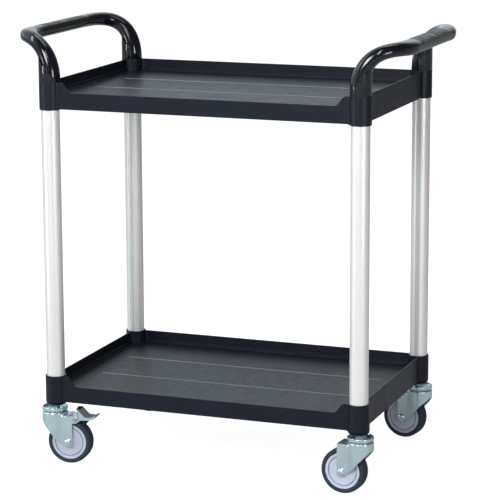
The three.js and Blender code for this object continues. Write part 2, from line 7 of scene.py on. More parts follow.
import json
import logging
import math
from collections.abc import Callable, Sequence
from dataclasses import dataclass
from enum import Enum
from typing import Any

import bmesh
import bpy
from mathutils import Matrix, Vector


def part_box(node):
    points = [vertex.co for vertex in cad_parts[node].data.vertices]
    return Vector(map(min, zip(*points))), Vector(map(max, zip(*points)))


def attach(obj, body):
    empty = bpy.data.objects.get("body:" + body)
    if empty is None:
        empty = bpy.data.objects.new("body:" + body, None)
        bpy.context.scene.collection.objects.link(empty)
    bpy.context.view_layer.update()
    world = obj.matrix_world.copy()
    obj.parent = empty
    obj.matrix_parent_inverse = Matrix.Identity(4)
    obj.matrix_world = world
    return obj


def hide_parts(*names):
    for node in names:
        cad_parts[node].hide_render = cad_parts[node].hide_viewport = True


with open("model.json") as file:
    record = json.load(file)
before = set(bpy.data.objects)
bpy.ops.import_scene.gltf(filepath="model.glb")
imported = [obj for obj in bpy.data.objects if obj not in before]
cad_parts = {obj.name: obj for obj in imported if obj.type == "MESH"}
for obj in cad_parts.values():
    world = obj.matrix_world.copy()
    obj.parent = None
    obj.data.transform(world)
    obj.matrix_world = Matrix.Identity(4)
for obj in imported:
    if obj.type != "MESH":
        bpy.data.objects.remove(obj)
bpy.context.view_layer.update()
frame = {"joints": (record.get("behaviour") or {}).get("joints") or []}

# Metres in a millimetre, the play between two parts in millimetres, and how near two points are
# made one, in metres.
MM = 0.001
GAP = 0.3
WELD = 2e-7
# How the meeting line of two pieces is found.
SOLVER = "MANIFOLD"
# Lays a piece that was turned about the upright axis across the trolley.
SIDEWAYS = Matrix.Rotation(-math.pi / 2, 4, "X")
Point = tuple[float, float, float]
Flat = tuple[float, float]
Colour = tuple[float, float, float]
Piece = bpy.types.Object

log = logging.getLogger("trolley")


class Body(Enum):
    """The moving bodies of the trolley. All but the first are followed by a corner's name."""

    FRAME = "trolley_frame"
    SWIVEL = "swivel"
    WHEEL = "wheel"
    PEDAL = "pedal"

    def at(self, corner: str) -> str:
        """The body's full name at a corner."""
        return self.value if self is Body.FRAME else f"{self.value}_{corner}"


class Slot(Enum):
    """The record's material slots."""

    TRAY = "tray_plastic"
    HANDLE = "handle_plastic"
    POST = "post_aluminium"
    PLUG = "plug_plastic"
    ZINC = "zinc_plate"
    STEEL = "steel"
    WHEEL = "wheel_plastic"
    TYRE = "tyre_rubber"
    PEDAL = "pedal_plastic"


class Cut(Enum):
    """What a tool does to the piece that it works on."""

    JOIN = "UNION"
    REMOVE = "DIFFERENCE"
    KEEP = "INTERSECT"


# ---------------------------------------------------------------- mesh work


def shape(name: str, points: Sequence[Point], faces: Sequence[Sequence[int]]) -> Piece:
    """Makes a closed mesh piece.

    Args:
        name: The piece's name.
        points: Its corners, in millimetres.
        faces: The corner numbers of each face.

    Returns:
        The new piece, with its normals facing out.
    """
    mesh = bpy.data.meshes.new(name)
    mesh.from_pydata([(x * MM, y * MM, z * MM) for x, y, z in points], [], [list(f) for f in faces])
    clay = bmesh.new()
    clay.from_mesh(mesh)
    bmesh.ops.remove_doubles(clay, verts=clay.verts[:], dist=WELD)
    bmesh.ops.recalc_face_normals(clay, faces=clay.faces[:])
    clay.to_mesh(mesh)
    clay.free()
    piece = bpy.data.objects.new(name, mesh)
    bpy.context.scene.collection.objects.link(piece)
    return piece


def loft(name: str, rings: Sequence[Sequence[Point]], closed: bool = False) -> Piece:
    """Skins a row of rings that have the same number of points.

    Args:
        name: The piece's name.
        rings: The rings, in order.
        closed: True if the last ring joins the first. Otherwise both ends are capped.

    Returns:
        The skinned piece.
    """
    count = len(rings[0])
    points = [point for ring in rings for point in ring]
    faces: list[list[int]] = []
    spans = len(rings) if closed else len(rings) - 1
    for i in range(spans):
        j = (i + 1) % len(rings)
        for k in range(count):
            m = (k + 1) % count
            faces.append([i * count + k, i * count + m, j * count + m, j * count + k])
    if not closed:
        last = (len(rings) - 1) * count
        faces += [list(range(count))[::-1], list(range(last, last + count))]
    return shape(name, points, faces)


def lathe(name: str, profile: Sequence[Flat], sides: int = 72) -> Piece:
    """Turns a closed profile about the upright axis.

    Args:
        name: The piece's name.
        profile: Radius and height of each point. The last joins the first.
        sides: How many flats the turn has.

    Returns:
        The turned piece.
    """
    turns = [2 * math.pi * i / sides for i in range(sides)]
    rings = [[(r * math.cos(a), r * math.sin(a), z) for r, z in profile] for a in turns]
    return loft(name, rings, closed=True)


def prism(name: str, outline: Sequence[Flat], low: float, high: float) -> Piece:
    """Raises a plan outline between two heights."""
    return loft(name, [[(x, y, z) for x, y in outline] for z in (low, high)])


def across(name: str, outline: Sequence[Flat], low: float, high: float) -> Piece:
    """Draws a side outline, in x and z, out between two distances along y."""
    return loft(name, [[(x, y, z) for x, z in outline] for y in (low, high)])


def block(name: str, low: Point, high: Point) -> Piece:
    """A square-edged stock block between two corners, for cutting with and for ribs."""
    outline = [(low[0], low[1]), (high[0], low[1]), (high[0], high[1]), (low[0], high[1])]
    return prism(name, outline, low[2], high[2])


def both_sides(half: Sequence[Flat]) -> list[Flat]:
    """A turned profile from one half of it, as radius and distance from the middle plane."""
    return [(r, -out) for r, out in half] + [(r, out) for r, out in reversed(half)]


def arc(centre: Flat, radius: float, start: float, stop: float, steps: int = 6) -> list[Flat]:
    """Points on an arc, both ends included, with its angles in degrees."""
    angles = [math.radians(start + (stop - start) * i / steps) for i in range(steps + 1)]
    return [(centre[0] + radius * math.cos(a), centre[1] + radius * math.sin(a)) for a in angles]


def bezier(controls: Sequence[Flat], steps: int) -> list[Flat]:
    """Points on a quadratic or cubic curve, both ends included.

    Args:
        controls: The curve's control points.
        steps: How many spans it is drawn in.

    Returns:
        The points, in order.
    """
    found = []
    for i in range(steps + 1):
        row = [Vector(c) for c in controls]
        while len(row) > 1:
            row = [a.lerp(b, i / steps) for a, b in zip(row, row[1:])]
        found.append(tuple(row[0]))
    return found


def bake(piece: Piece) -> Piece:
    """Makes the result of a piece's modifiers its own mesh.

    Args:
        piece: The piece. Its modifiers are used up.

    Returns:
        The same piece.
    """
    bpy.context.view_layer.update()
    graph = bpy.context.evaluated_depsgraph_get()
    made = bpy.data.meshes.new_from_object(piece.evaluated_get(graph), depsgraph=graph)
    if not any(made.materials):
        made.materials.clear()
    old = piece.data
    piece.modifiers.clear()
    piece.data = made
    bpy.data.meshes.remove(old)
    made.name = piece.name
    return piece


def work(piece: Piece, tools: Sequence[Piece], cut: Cut) -> Piece:
    """Joins tools to a piece, removes them from it, or keeps what they share.

    Args:
        piece: The piece that is worked on.
        tools: The closed pieces that work on it. They are used up.
        cut: What they do.

    Returns:
        The same piece, with its new mesh.
    """
    for tool in tools:
        step = piece.modifiers.new(cut.name, "BOOLEAN")
        step.operation, step.solver, step.object = cut.value, SOLVER, tool
    bake(piece)
    for tool in tools:
        mesh = tool.data
        bpy.data.objects.remove(tool)
        bpy.data.meshes.remove(mesh)
    return piece


def ease_edges(piece: Piece, width: float, segments: int = 2, angle: float = 40) -> Piece:
    """Rounds every edge sharper than an angle, in degrees, over a width in millimetres.

    Args:
        piece: The piece.
        width: How far the rounding reaches from the edge.
        segments: How many flats it has.
        angle: The sharpest edge that is left as it is.

    Returns:
        The same piece.
    """
    step = piece.modifiers.new("edges", "BEVEL")
    step.width, step.segments, step.limit_method = width * MM, segments, "ANGLE"
    step.angle_limit = math.radians(angle)
    return bake(piece)


def polish(piece: Piece, angle: float = 34, weighted: bool = True) -> Piece:
    """Shades a piece smooth except over edges sharper than an angle, with flats that stay flat.

    Args:
        piece: The piece.
        angle: The sharpest edge that is shaded smooth, in degrees.
        weighted: True to keep flats flat up to their rounded edges.

    Returns:
        The same piece.
    """
    piece.data.shade_smooth()
    piece.data.set_sharp_from_angle(angle=math.radians(angle))
    if weighted:
        step = piece.modifiers.new("flats", "WEIGHTED_NORMAL")
        step.keep_sharp, step.weight, step.mode = True, 60, "FACE_AREA"
        bake(piece)
    return piece


def recolour(
    piece: Piece, materials: Sequence[bpy.types.Material], chosen: Callable[[Vector], bool]
) -> Piece:
    """Gives a piece two materials, the second on the faces that a test picks out.

    Args:
        piece: The piece, before it is moved into place.
        materials: Its main material and the second one.
        chosen: Says whether a face belongs to the second, from its middle in millimetres.

    Returns:
        The same piece.
    """
    for material in materials:
        piece.data.materials.append(material)
    for face in piece.data.polygons:
        face.material_index = int(chosen(face.center / MM))
    return piece


def move(piece: Piece, matrix: Matrix) -> Piece:
    """Moves a piece's mesh, with the matrix's lengths in metres. Its object stays at the origin.

    Args:
        piece: The piece.
        matrix: The move, which may also mirror it.

    Returns:
        The same piece.
    """
    piece.data.transform(matrix)
    if matrix.determinant() < 0:
        piece.data.flip_normals()
    return piece


def shift(x: float = 0, y: float = 0, z: float = 0) -> Matrix:
    """The matrix of a move in millimetres."""
    return Matrix.Translation((x * MM, y * MM, z * MM))


# ---------------------------------------------------------------- finishes


class NodeBoard:
    """A material's nodes, with short calls for those that the finishes use."""

    def __init__(self, name: str) -> None:
        """Starts a material with one surface shader and object coordinates.

        Args:
            name: The material's name.
        """
        self.material = bpy.data.materials.new(name)
        self.material.use_nodes = True
        self.tree = self.material.node_tree
        self.tree.nodes.clear()
        out = self.add("ShaderNodeOutputMaterial")
        self.surface = self.add("ShaderNodeBsdfPrincipled")
        self.tree.links.new(self.surface.outputs[0], out.inputs[0])
        self.place = self.add("ShaderNodeTexCoord").outputs["Object"]

    def add(self, kind: str, **settings: Any) -> bpy.types.Node:
        """Adds a node and sets its properties.

        Args:
            kind: Blender's name for the node.
            settings: Its properties by name.

        Returns:
            The node.
        """
        node = self.tree.nodes.new(kind)
        for key, value in settings.items():
            setattr(node, key, value)
        return node

    def feed(self, node: bpy.types.Node, socket: str | int, value: Any) -> None:
        """Links an output into a socket, or sets the socket's own value.

        Args:
            node: The node.
            socket: Its input, by name or number.
            value: An output to link, or a plain value.
        """
        if isinstance(value, bpy.types.NodeSocket):
            self.tree.links.new(value, node.inputs[socket])
        else:
            node.inputs[socket].default_value = value

    def stretched(self, scale: Point) -> bpy.types.NodeSocket:
        """The object coordinates, stretched along each axis.

        Args:
            scale: The stretch along each axis.

        Returns:
            The stretched coordinates.
        """
        node = self.add("ShaderNodeMapping")
        self.feed(node, "Vector", self.place)
        self.feed(node, "Scale", scale)
        return node.outputs[0]

    def noise(self, scale: float, detail: float = 3, vector: Any = None) -> bpy.types.NodeSocket:
        """A cloud pattern with this many waves to the metre.

        Args:
            scale: Waves to the metre.
            detail: How many finer layers it has.
            vector: The coordinates, if not the plain ones.

        Returns:
            The pattern, from 0 to 1.
        """
        node = self.add("ShaderNodeTexNoise")
        self.feed(node, "Vector", vector or self.place)
        self.feed(node, "Scale", scale)
        self.feed(node, "Detail", detail)
        return node.outputs[0]

    def cells(self, scale: float) -> bpy.types.NodeSocket:
        """A cell pattern: the distance to each cell's middle.

        Args:
            scale: Cells to the metre.

        Returns:
            The distance.
        """
        node = self.add("ShaderNodeTexVoronoi", feature="F1")
        self.feed(node, "Vector", self.place)
        self.feed(node, "Scale", scale)
        return node.outputs["Distance"]

    def ramp(
        self, value: Any, low: float, high: float, out_low: float, out_high: float
    ) -> bpy.types.NodeSocket:
        """Maps a range of values onto another, held at both ends.

        Args:
            value: The value that is mapped.
            low: Start of its range.
            high: End of its range.
            out_low: What the start becomes.
            out_high: What the end becomes.

        Returns:
            The mapped value.
        """
        node = self.add("ShaderNodeMapRange")
        for socket, number in zip((0, 1, 2, 3, 4), (value, low, high, out_low, out_high)):
            self.feed(node, socket, number)
        return node.outputs[0]

    def blend(self, share: Any, first: Any, second: Any) -> bpy.types.NodeSocket:
        """Mixes two colours.

        Args:
            share: Share of the second.
            first: The first colour, plain or linked.
            second: The second colour, plain or linked.

        Returns:
            The mixed colour.
        """
        node = self.add("ShaderNodeMix", data_type="RGBA")
        self.feed(node, 0, share)
        self.feed(node, 6, first if isinstance(first, bpy.types.NodeSocket) else (*first, 1))
        self.feed(node, 7, second if isinstance(second, bpy.types.NodeSocket) else (*second, 1))
        return node.outputs[2]

    def math(self, operation: str, first: Any, second: Any = 0.0) -> bpy.types.NodeSocket:
        """A sum, product or other operation on two values.

        Args:
            operation: Blender's name for it.
            first: The first value.
            second: The second value.

        Returns:
            The result.
        """
        node = self.add("ShaderNodeMath", operation=operation)
        self.feed(node, 0, first)
        self.feed(node, 1, second)
        return node.outputs[0]

    def relief(self, height: Any, strength: float, depth: float) -> None:
        """Raises the surface's normals by a height pattern, depth in millimetres.

        Args:
            height: The pattern.
            strength: How much of it shows.
            depth: Its depth.
        """
        node = self.add("ShaderNodeBump")
        self.feed(node, "Height", height)
        self.feed(node, "Strength", strength)
        self.feed(node, "Distance", depth * MM)
        if self.surface.inputs["Normal"].is_linked:
            self.feed(node, "Normal", self.surface.inputs["Normal"].links[0].from_socket)
        self.feed(self.surface, "Normal", node.outputs[0])

    def finish(self, **sockets: Any) -> bpy.types.Material:
        """Sets the surface shader's sockets, named with underscores for spaces.

        Args:
            sockets: Each value, plain or linked.

        Returns:
            The material.
        """
        for key, value in sockets.items():
            if isinstance(value, tuple):
                value = (*value, 1)
            self.feed(self.surface, key.replace("_", " "), value)
        return self.material


@dataclass(frozen=True)
class Finish:
    """What a surface is made of. Each kind paints its own node board.

    Attributes:
        name: The material's name.
        colour: Its base colour, linear.
    """

    name: str
    colour: Colour

    def shade(self, factor: float) -> Colour:
        """The base colour, lighter or darker."""
        return tuple(min(1.0, c * factor) for c in self.colour)

    def paint(self, board: NodeBoard) -> None:
        """Builds the surface. Every kind of finish has its own.

        Args:
            board: The material's nodes.
        """
        raise NotImplementedError

    def material(self) -> bpy.types.Material:
        """The material, made once.

        Returns:
            The finish as a material.
        """
        made = bpy.data.materials.get(self.name)
        if made is None:
            board = NodeBoard(self.name)
            self.paint(board)
            made = board.material
        return made


@dataclass(frozen=True)
class MouldedPlastic(Finish):
    """Grained injection-moulded plastic with faint rubbed patches.

    Attributes:
        roughness: How dull it is.
        grain: Waves of the grain to the metre.
        grain_depth: Depth of the grain in millimetres.
        specular: Strength of its mirror reflection.
    """

    roughness: float = 0.45
    grain: float = 1400
    grain_depth: float = 0.05
    specular: float = 0.5

    def paint(self, board: NodeBoard) -> None:
        """Cloudy colour, rubbed patches that shine a little more, and a fine grain.

        Args:
            board: The material's nodes.
        """
        patches = board.noise(9, 5)
        rubs = board.noise(55, 8, board.stretched((1, 1.6, 1)))
        worn = board.math(
            "MULTIPLY",
            board.ramp(patches, 0.42, 0.68, 0, 1),
            board.ramp(rubs, 0.45, 0.75, 0, 1),
        )
        tone = board.blend(board.ramp(patches, 0.3, 0.7, 0, 1), self.shade(0.86), self.shade(1.14))
        colour = board.blend(board.ramp(worn, 0, 1, 0, 0.35), tone, self.shade(1.8))
        roughness = board.math(
            "ADD",
            board.ramp(rubs, 0.3, 0.7, self.roughness - 0.05, self.roughness + 0.05),
            board.ramp(worn, 0, 1, 0, -0.06),
        )
        board.relief(board.noise(self.grain, 2), 0.5, self.grain_depth)
        board.relief(board.noise(160, 2), 0.12, 0.25)
        board.finish(Base_Color=colour, Roughness=roughness)
        board.surface.inputs["Specular IOR Level"].default_value = self.specular


@dataclass(frozen=True)
class PolishedPlastic(Finish):
    """Glossy moulded plastic with hair scratches.

    Attributes:
        roughness: How dull it is where it isn't scratched.
    """

    roughness: float = 0.12

    def paint(self, board: NodeBoard) -> None:
        """A mirror finish broken by hair scratches and a faint ripple.

        Args:
            board: The material's nodes.
        """
        hairs = board.noise(30, 6, board.stretched((9, 0.7, 9)))
        smears = board.noise(24, 4)
        roughness = board.math(
            "ADD",
            board.ramp(smears, 0.35, 0.7, self.roughness, self.roughness + 0.07),
            board.ramp(hairs, 0.58, 0.8, 0, 0.12),
        )
        colour = board.blend(board.ramp(smears, 0.3, 0.7, 0, 1), self.shade(0.9), self.shade(1.15))
        board.relief(hairs, 0.08, 0.06)
        board.relief(board.noise(45, 1), 0.1, 0.5)
        board.finish(Base_Color=colour, Roughness=roughness)
        board.surface.inputs["Coat Weight"].default_value = 0.25
        board.surface.inputs["Coat Roughness"].default_value = 0.06


@dataclass(frozen=True)
class GripTexture(Finish):
    """The matt stippled moulding under the palm."""

    def paint(self, board: NodeBoard) -> None:
        """Worn pebbles, with painted shade in the valleys between them.

        Args:
            board: The material's nodes.
        """
        pebbles = board.noise(150, 2)
        leather = board.noise(420, 4)
        worn = board.noise(38, 5)
        fine = board.math("MULTIPLY", leather, 0.35)
        height = board.math("ADD", board.ramp(pebbles, 0.38, 0.6, 1, 0), fine)
        # Painted shade: the valleys between the pebbles are darkened in the base colour.
        valley = board.ramp(pebbles, 0.46, 0.56, 0, 1)
        colour = board.blend(valley, self.shade(1.9), self.shade(0.25))
        rubbed = board.blend(board.ramp(worn, 0.45, 0.7, 0, 0.6), colour, self.shade(2.2))
        board.relief(height, 1.0, 0.7)
        board.finish(Base_Color=rubbed, Roughness=board.ramp(worn, 0.3, 0.75, 0.46, 0.34))


@dataclass(frozen=True)
class AnodisedAluminium(Finish):
    """Satin anodised extrusion with faint die lines along it.

    Attributes:
        metal: Share of metal in the look. The rest is the milky oxide layer.
    """

    metal: float = 0.7

    def paint(self, board: NodeBoard) -> None:
        """Die lines along the post in the roughness, the tone and the normals.

        Args:
            board: The material's nodes.
        """
        lines = board.noise(1, 3, board.stretched((900, 900, 3)))
        bands = board.noise(1, 2, board.stretched((160, 160, 1.5)))
        colour = board.blend(board.ramp(bands, 0.3, 0.7, 0, 1), self.shade(0.955), self.shade(1.03))
        patches = board.ramp(board.noise(14, 4), 0.4, 0.7, 0, 0.05)
        roughness = board.math("ADD", board.ramp(lines, 0.3, 0.7, 0.3, 0.4), patches)
        board.relief(lines, 0.25, 0.02)
        board.finish(Base_Color=colour, Roughness=roughness)
        board.surface.inputs["Metallic"].default_value = self.metal


@dataclass(frozen=True)
class PlatedSteel(Finish):
    """Bright plated steel, a little uneven from pressing.

    Attributes:
        roughness: How dull the plating is.
        ripple: Depth of the pressing's ripple in millimetres.
        metal: Share of metal in the look. The rest is the milky passivated layer.
    """

    roughness: float = 0.2
    ripple: float = 0.12
    metal: float = 1.0

    def paint(self, board: NodeBoard) -> None:
        """Cloudy plating with spangle, small pits and a slow ripple.

        Args:
            board: The material's nodes.
        """
        clouds = board.noise(70, 5)
        spangle = board.cells(420)
        pits = board.noise(900, 3)
        colour = board.blend(board.ramp(clouds, 0.3, 0.72, 0, 1), self.shade(1.04), self.shade(0.9))
        toned = board.blend(board.ramp(spangle, 0.2, 0.9, 0, 0.15), colour, self.shade(0.8))
        roughness = board.math(
            "ADD",
            board.ramp(clouds, 0.3, 0.7, self.roughness - 0.03, self.roughness + 0.06),
            board.ramp(pits, 0.6, 0.8, 0, 0.12),
        )
        board.relief(board.noise(42, 2), 0.15, self.ripple)
        board.relief(pits, 0.12, 0.03)
        board.finish(Base_Color=toned, Roughness=roughness)
        board.surface.inputs["Metallic"].default_value = self.metal


@dataclass(frozen=True)
class TyreRubber(Finish):
    """Grey-blue elastic rubber with dusty shoulders."""

    def paint(self, board: NodeBoard) -> None:
        """Dust in patches over a fine matt skin.

        Args:
            board: The material's nodes.
        """
        dust = board.noise(60, 7)
        skin = board.noise(1100, 3)
        colour = board.blend(board.ramp(dust, 0.45, 0.75, 0, 0.6), self.shade(0.9), self.shade(1.7))
        board.relief(skin, 0.4, 0.04)
        board.relief(dust, 0.15, 0.2)
        board.finish(Base_Color=colour, Roughness=board.ramp(dust, 0.3, 0.75, 0.42, 0.66))
        board.surface.inputs["Specular IOR Level"].default_value = 0.3


@dataclass(frozen=True)
class StudioPaper(Finish):
    """The plain pale floor, lit a little from below so that its shadows stay soft."""

    def paint(self, board: NodeBoard) -> None:
        """Matt paper with a very faint cloud.

        Args:
            board: The material's nodes.
        """
        clouds = board.ramp(board.noise(3, 3), 0.3, 0.7, 0, 1)
        colour = board.blend(clouds, self.shade(0.985), self.shade(1.0))
        seen = board.add("ShaderNodeLightPath").outputs["Is Camera Ray"]
        glow = board.ramp(seen, 0, 1, 0.1, 0.9)
        board.finish(
            Base_Color=colour, Roughness=0.9, Emission_Color=(1.0, 1.0, 1.0), Emission_Strength=glow
        )
        board.surface.inputs["Specular IOR Level"].default_value = 0.1


TRAY_PLASTIC = MouldedPlastic("tray_moulding", (0.0045, 0.0075, 0.0165), 0.4, 1400, 0.05, 0.28)
HANDLE_PLASTIC = PolishedPlastic("handle_moulding", (0.0030, 0.0050, 0.0100))
# Paler plastic for the bead crests on the tray floors: a painted highlight.
BEAD_HIGHLIGHT_PLASTIC = MouldedPlastic("tray_bead_painted_highlight", (0.15, 0.16, 0.165), 0.36, 1400, 0.05, 0.5)
GRIP_PLASTIC = GripTexture("handle_grip_stipple", (0.034, 0.044, 0.044))
POST_METAL = AnodisedAluminium("post_anodised", (0.93, 0.94, 0.93), 0.45)
# Darker aluminium for the floor of the post's channel: painted shade in the recess.
CHANNEL_SHADE_METAL = AnodisedAluminium("post_channel_painted_shade", (0.62, 0.66, 0.68), 0.5)
PLUG_PLASTIC = MouldedPlastic("plug_moulding", (0.008, 0.008, 0.010), 0.5, 1200, 0.04, 0.35)
ZINC = PlatedSteel("bright_zinc", (0.70, 0.87, 0.93), 0.17, 0.10, 0.8)
STEEL = PlatedSteel("turned_steel", (0.60, 0.62, 0.64), 0.3, 0.04, 1.0)
WHEEL_PLASTIC = MouldedPlastic("wheel_nylon", (0.52, 0.56, 0.68), 0.42, 900, 0.03, 0.5)
TYRE = TyreRubber("tyre_rubber", (0.034, 0.064, 0.165))
PEDAL_PLASTIC = MouldedPlastic("pedal_nylon", (0.34, 0.34, 0.46), 0.38, 1100, 0.04, 0.5)
PEDAL_NUB = MouldedPlastic("pedal_nub", (0.010, 0.010, 0.014), 0.4, 1100, 0.04, 0.5)
SHOE_RUBBER = TyreRubber("brake_shoe_rubber", (0.008, 0.009, 0.012))
FLOOR_PAPER = StudioPaper("floor_paper", (0.4, 0.4, 0.4))


def fit(piece: Piece, finish: Finish, body: str, slot: Slot, *nodes: str) -> Piece:
    """Gives a piece its finish and fixes it to the trolley.

    Args:
        piece: The piece, in place.
        finish: What it is made of.
        body: The body that it moves with.
        slot: The record's slot for its finish. Not used.
        nodes: The frame's nodes that it stands for.

    Returns:
        The same piece.
    """
    if not piece.data.materials:
        piece.data.materials.append(finish.material())
    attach(piece, body)
    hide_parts(*nodes)
    log.info("%s: %d faces, on %s", piece.name, len(piece.data.polygons), body)
    return piece


# ---------------------------------------------------------------- where things are


@dataclass(frozen=True)
class Corner:
    """One corner of the trolley.

    Attributes:
        name: Its name, as in the frame's nodes.
        x: The post's axis along the trolley.
        y: The post's axis across it.
        offset: From the post's axis to the swivel's axis, along the trolley.
        heading: The way its wheel trails, in degrees.
        trail: From the swivel's axis to the axle.
        axle_height: The axle's height.
        pivot: The brake's pivot, as its distance from the swivel's axis and its height, or None.
    """

    name: str
    x: float
    y: float
    offset: float
    heading: float
    trail: float
    axle_height: float
    pivot: Flat | None

    @property
    def side(self) -> int:
        """-1 on the left and 1 on the right."""
        return 1 if self.x > 0 else -1

    @property
    def end(self) -> int:
        """-1 in front and 1 behind."""
        return 1 if self.y > 0 else -1

    def named(self, kind: str) -> str:
        """The name of a kind of frame node at this corner."""
        return f"{kind}_{self.name}"

    @property
    def post(self) -> Matrix:
        """Moves a piece onto the post's axis."""
        return shift(self.x, self.y)

    @property
    def stem(self) -> Matrix:
        """Moves a piece onto the swivel's axis."""
        return shift(self.x + self.offset, self.y)

    @property
    def swivel(self) -> Matrix:
        """Moves a piece onto the swivel's axis, with +X turned to the heading."""
        return self.stem @ Matrix.Rotation(math.radians(self.heading), 4, "Z")


def reach(swivel: dict[str, Any], other: dict[str, Any]) -> Flat:
    """How far out from a swivel's axis another joint is, and how high, in millimetres."""
    (x, y, _), (other_x, other_y, height) = swivel["pos_m"], other["pos_m"]
    return math.hypot(other_x - x, other_y - y) / MM, height / MM


def corners() -> list[Corner]:
    """Reads the corners from the frame's joints.

    Returns:
        The four corners, in the order of the joints.
    """
    joints = {joint["name"]: joint for joint in frame["joints"]}
    found = []
    for name, joint in joints.items():
        if name.startswith("caster_swivel_"):
            corner = name.removeprefix("caster_swivel_")
            swivel_x, y, _ = (value / MM for value in joint["pos_m"])
            post_x = sum(end.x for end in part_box(f"post_{corner}")) / 2 / MM
            axis = joints[f"wheel_spin_{corner}"]["axis"]
            heading = math.degrees(math.atan2(-axis[0], axis[1]))
            trail, height = reach(joint, joints[f"wheel_spin_{corner}"])
            brake = joints.get(f"brake_pedal_{corner}")
            pivot = reach(joint, brake) if brake else None
            found.append(Corner(corner, post_x, y, swivel_x - post_x, heading, trail, height, pivot))
    return found


def top_of(node: str) -> float:
    """The height of a frame node's highest point."""
    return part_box(node)[1].z / MM


# ---------------------------------------------------------------- trays


@dataclass
class Tray:
    """A moulded tray with a socket at each corner and a low lip in front.

    Heights are measured down from the tops of the sockets.
    """

    name: str
    sites: list[Corner]
    top: float
    foot_round: float = 3.0
    rim: float = 1.5
    lip: float = 21.5
    floor: float = 27.0
    floor_thickness: float = 3.2
    skirt: float = 56.0
    wall: float = 3.5
    end_overhang: float = 7.0
    side_overhang: float = 8.5
    ledge_height: float = 6.0
    ledge_width: float = 3.0
    lip_start: float = 26.0
    lip_end: float = 53.0
    rib_depth: float = 8.0
    rib_width: float = 3.0
    socket_radius: float = 22.0
    socket_height: float = 58.0
    bore: float = 19.3
    fillet: float = 6.0
    bead_height: float = 0.9
    bead_half_width: float = 3.0
    bead_inset: float = 42.0
    end_mark: bool = False
    wall_start: float = 19.8

    @property
    def half_x(self) -> float:
        """From the middle to the post axes, along the trolley."""
        return abs(self.sites[0].x)

    @property
    def half_y(self) -> float:
        """From the middle to the post axes, across it."""
        return abs(self.sites[0].y)

    def wall_section(self, overhang: float, rim: float) -> list[Flat]:
        """The section of a wall whose rim stands at a height.

        Args:
            overhang: From the post axes out to the wall's outer face.
            rim: Height of the rim.

        Returns:
            The distance out from the post axes and the height of each point.
        """
        inner = overhang - self.wall
        ledge_top = min(self.ledge_height - self.floor, rim - 0.02)
        nose = max(0.01, min(0.8, (rim - ledge_top) * 0.4))
        step = inner - self.ledge_width
        under = -self.floor - self.floor_thickness / 2
        return [
            *arc((overhang - 0.8, 0.8 - self.skirt), 0.8, -90, 0, 3),
            *arc((overhang - 1.3, rim - 1.3), 1.3, 0, 90, 5),
            *arc((inner + nose, rim - nose), nose, 90, 180, 4),
            *arc((inner - nose, ledge_top + nose), nose, 0, -90, 3),
            *arc((step + 0.9, ledge_top - 0.9), 0.9, 90, 180, 4),
            *arc((step - 1.6, 1.6 - self.floor), 1.6, 0, -90, 4),
            (step - 1.6, under),
            (inner, under),
            (inner, 0.5 - self.skirt),
            (inner + 0.5, -self.skirt),
        ]

    def straight_wall(self, name: str, along_x: bool, side: int) -> Piece:
        """A wall of even height between two sockets.

        Args:
            name: The piece's name.
            along_x: True if it runs along the trolley.
            side: -1 or 1, for the side that it stands on.

        Returns:
            The wall.
        """
        overhang = self.side_overhang if along_x else self.end_overhang
        half_run = (self.half_x if along_x else self.half_y) - self.wall_start
        line = self.half_y if along_x else self.half_x
        section = self.wall_section(overhang, -self.rim)
        rings = []
        for i in range(9):
            run = half_run * (i / 4 - 1)
            out = [(side * (line + u), z) for u, z in section]
            rings.append([(run, u, z) if along_x else (u, run, z) for u, z in out])
        return loft(name, rings)

    def front_wall(self, name: str) -> Piece:
        """The front wall, whose rim falls in an S to the low lip.

        Args:
            name: The piece's name.

        Returns:
            The wall.
        """
        start, stop = self.half_x - self.lip_start, self.half_x - self.lip_end
        middle = (start + stop) / 2
        rim, lip = -self.rim, -self.lip
        fall = bezier([(-start, rim), (-middle, rim), (-middle, lip), (-stop, lip)], 22)
        rise = [(-x, z) for x, z in reversed(fall)]
        flat = [(stop * (i / 5 - 1), lip) for i in range(1, 10)]
        end = self.half_x - self.wall_start
        stations = [(-end, rim), *fall, *flat, *rise, (end, rim)]
        rings = []
        for x, height in stations:
            section = self.wall_section(self.side_overhang, height)
            rings.append([(x, -self.half_y - u, z) for u, z in section])
        return loft(name, rings)

    def fillets(self, corner: Corner) -> list[Piece]:
        """The concave fillets where a socket meets its two walls, outside and inside the tray.

        Args:
            corner: The socket's corner.

        Returns:
            The four fillets.
        """
        made = []
        far_out = self.socket_radius + self.fillet
        sunk = 0.94
        inside = self.socket_radius * sunk
        for along_x, overhang in ((True, self.side_overhang), (False, self.end_overhang)):
            for outer in (True, False):
                face = overhang if outer else overhang - self.wall
                away = 1 if outer else -1
                middle = face + away * self.fillet
                centre = (math.sqrt(far_out**2 - middle**2), middle)
                touch = math.degrees(math.atan2(-centre[1], -centre[0])) % 360
                curve = arc(centre, self.fillet, 270 if outer else 90, touch, 8)
                buried = face - away * 1.5
                outline = [
                    *curve,
                    (curve[-1][0] * sunk, curve[-1][1] * sunk),
                    (math.sqrt(inside**2 - buried**2), buried),
                    (centre[0], buried),
                ]
                drop = self.rim + (0.0 if outer else 0.3)
                low = -self.skirt if outer else -self.floor - 1
                deepest = self.socket_height - self.skirt - 0.6 if outer else 0
                share = [math.hypot(*p) for p in outline]
                near, far = min(share), max(share)
                rings = []
                for top in (False, True):
                    ring = []
                    for (s, u), size in zip(outline, share):
                        dip = deepest * (far - size) / (far - near)
                        plan = (corner.x - corner.side * s, corner.y + corner.end * u)
                        if not along_x:
                            plan = (corner.x + corner.side * u, corner.y - corner.end * s)
                        ring.append((*plan, -drop if top else low - dip))
                    rings.append(ring)
                made.append(loft("fillet", rings))
        return made

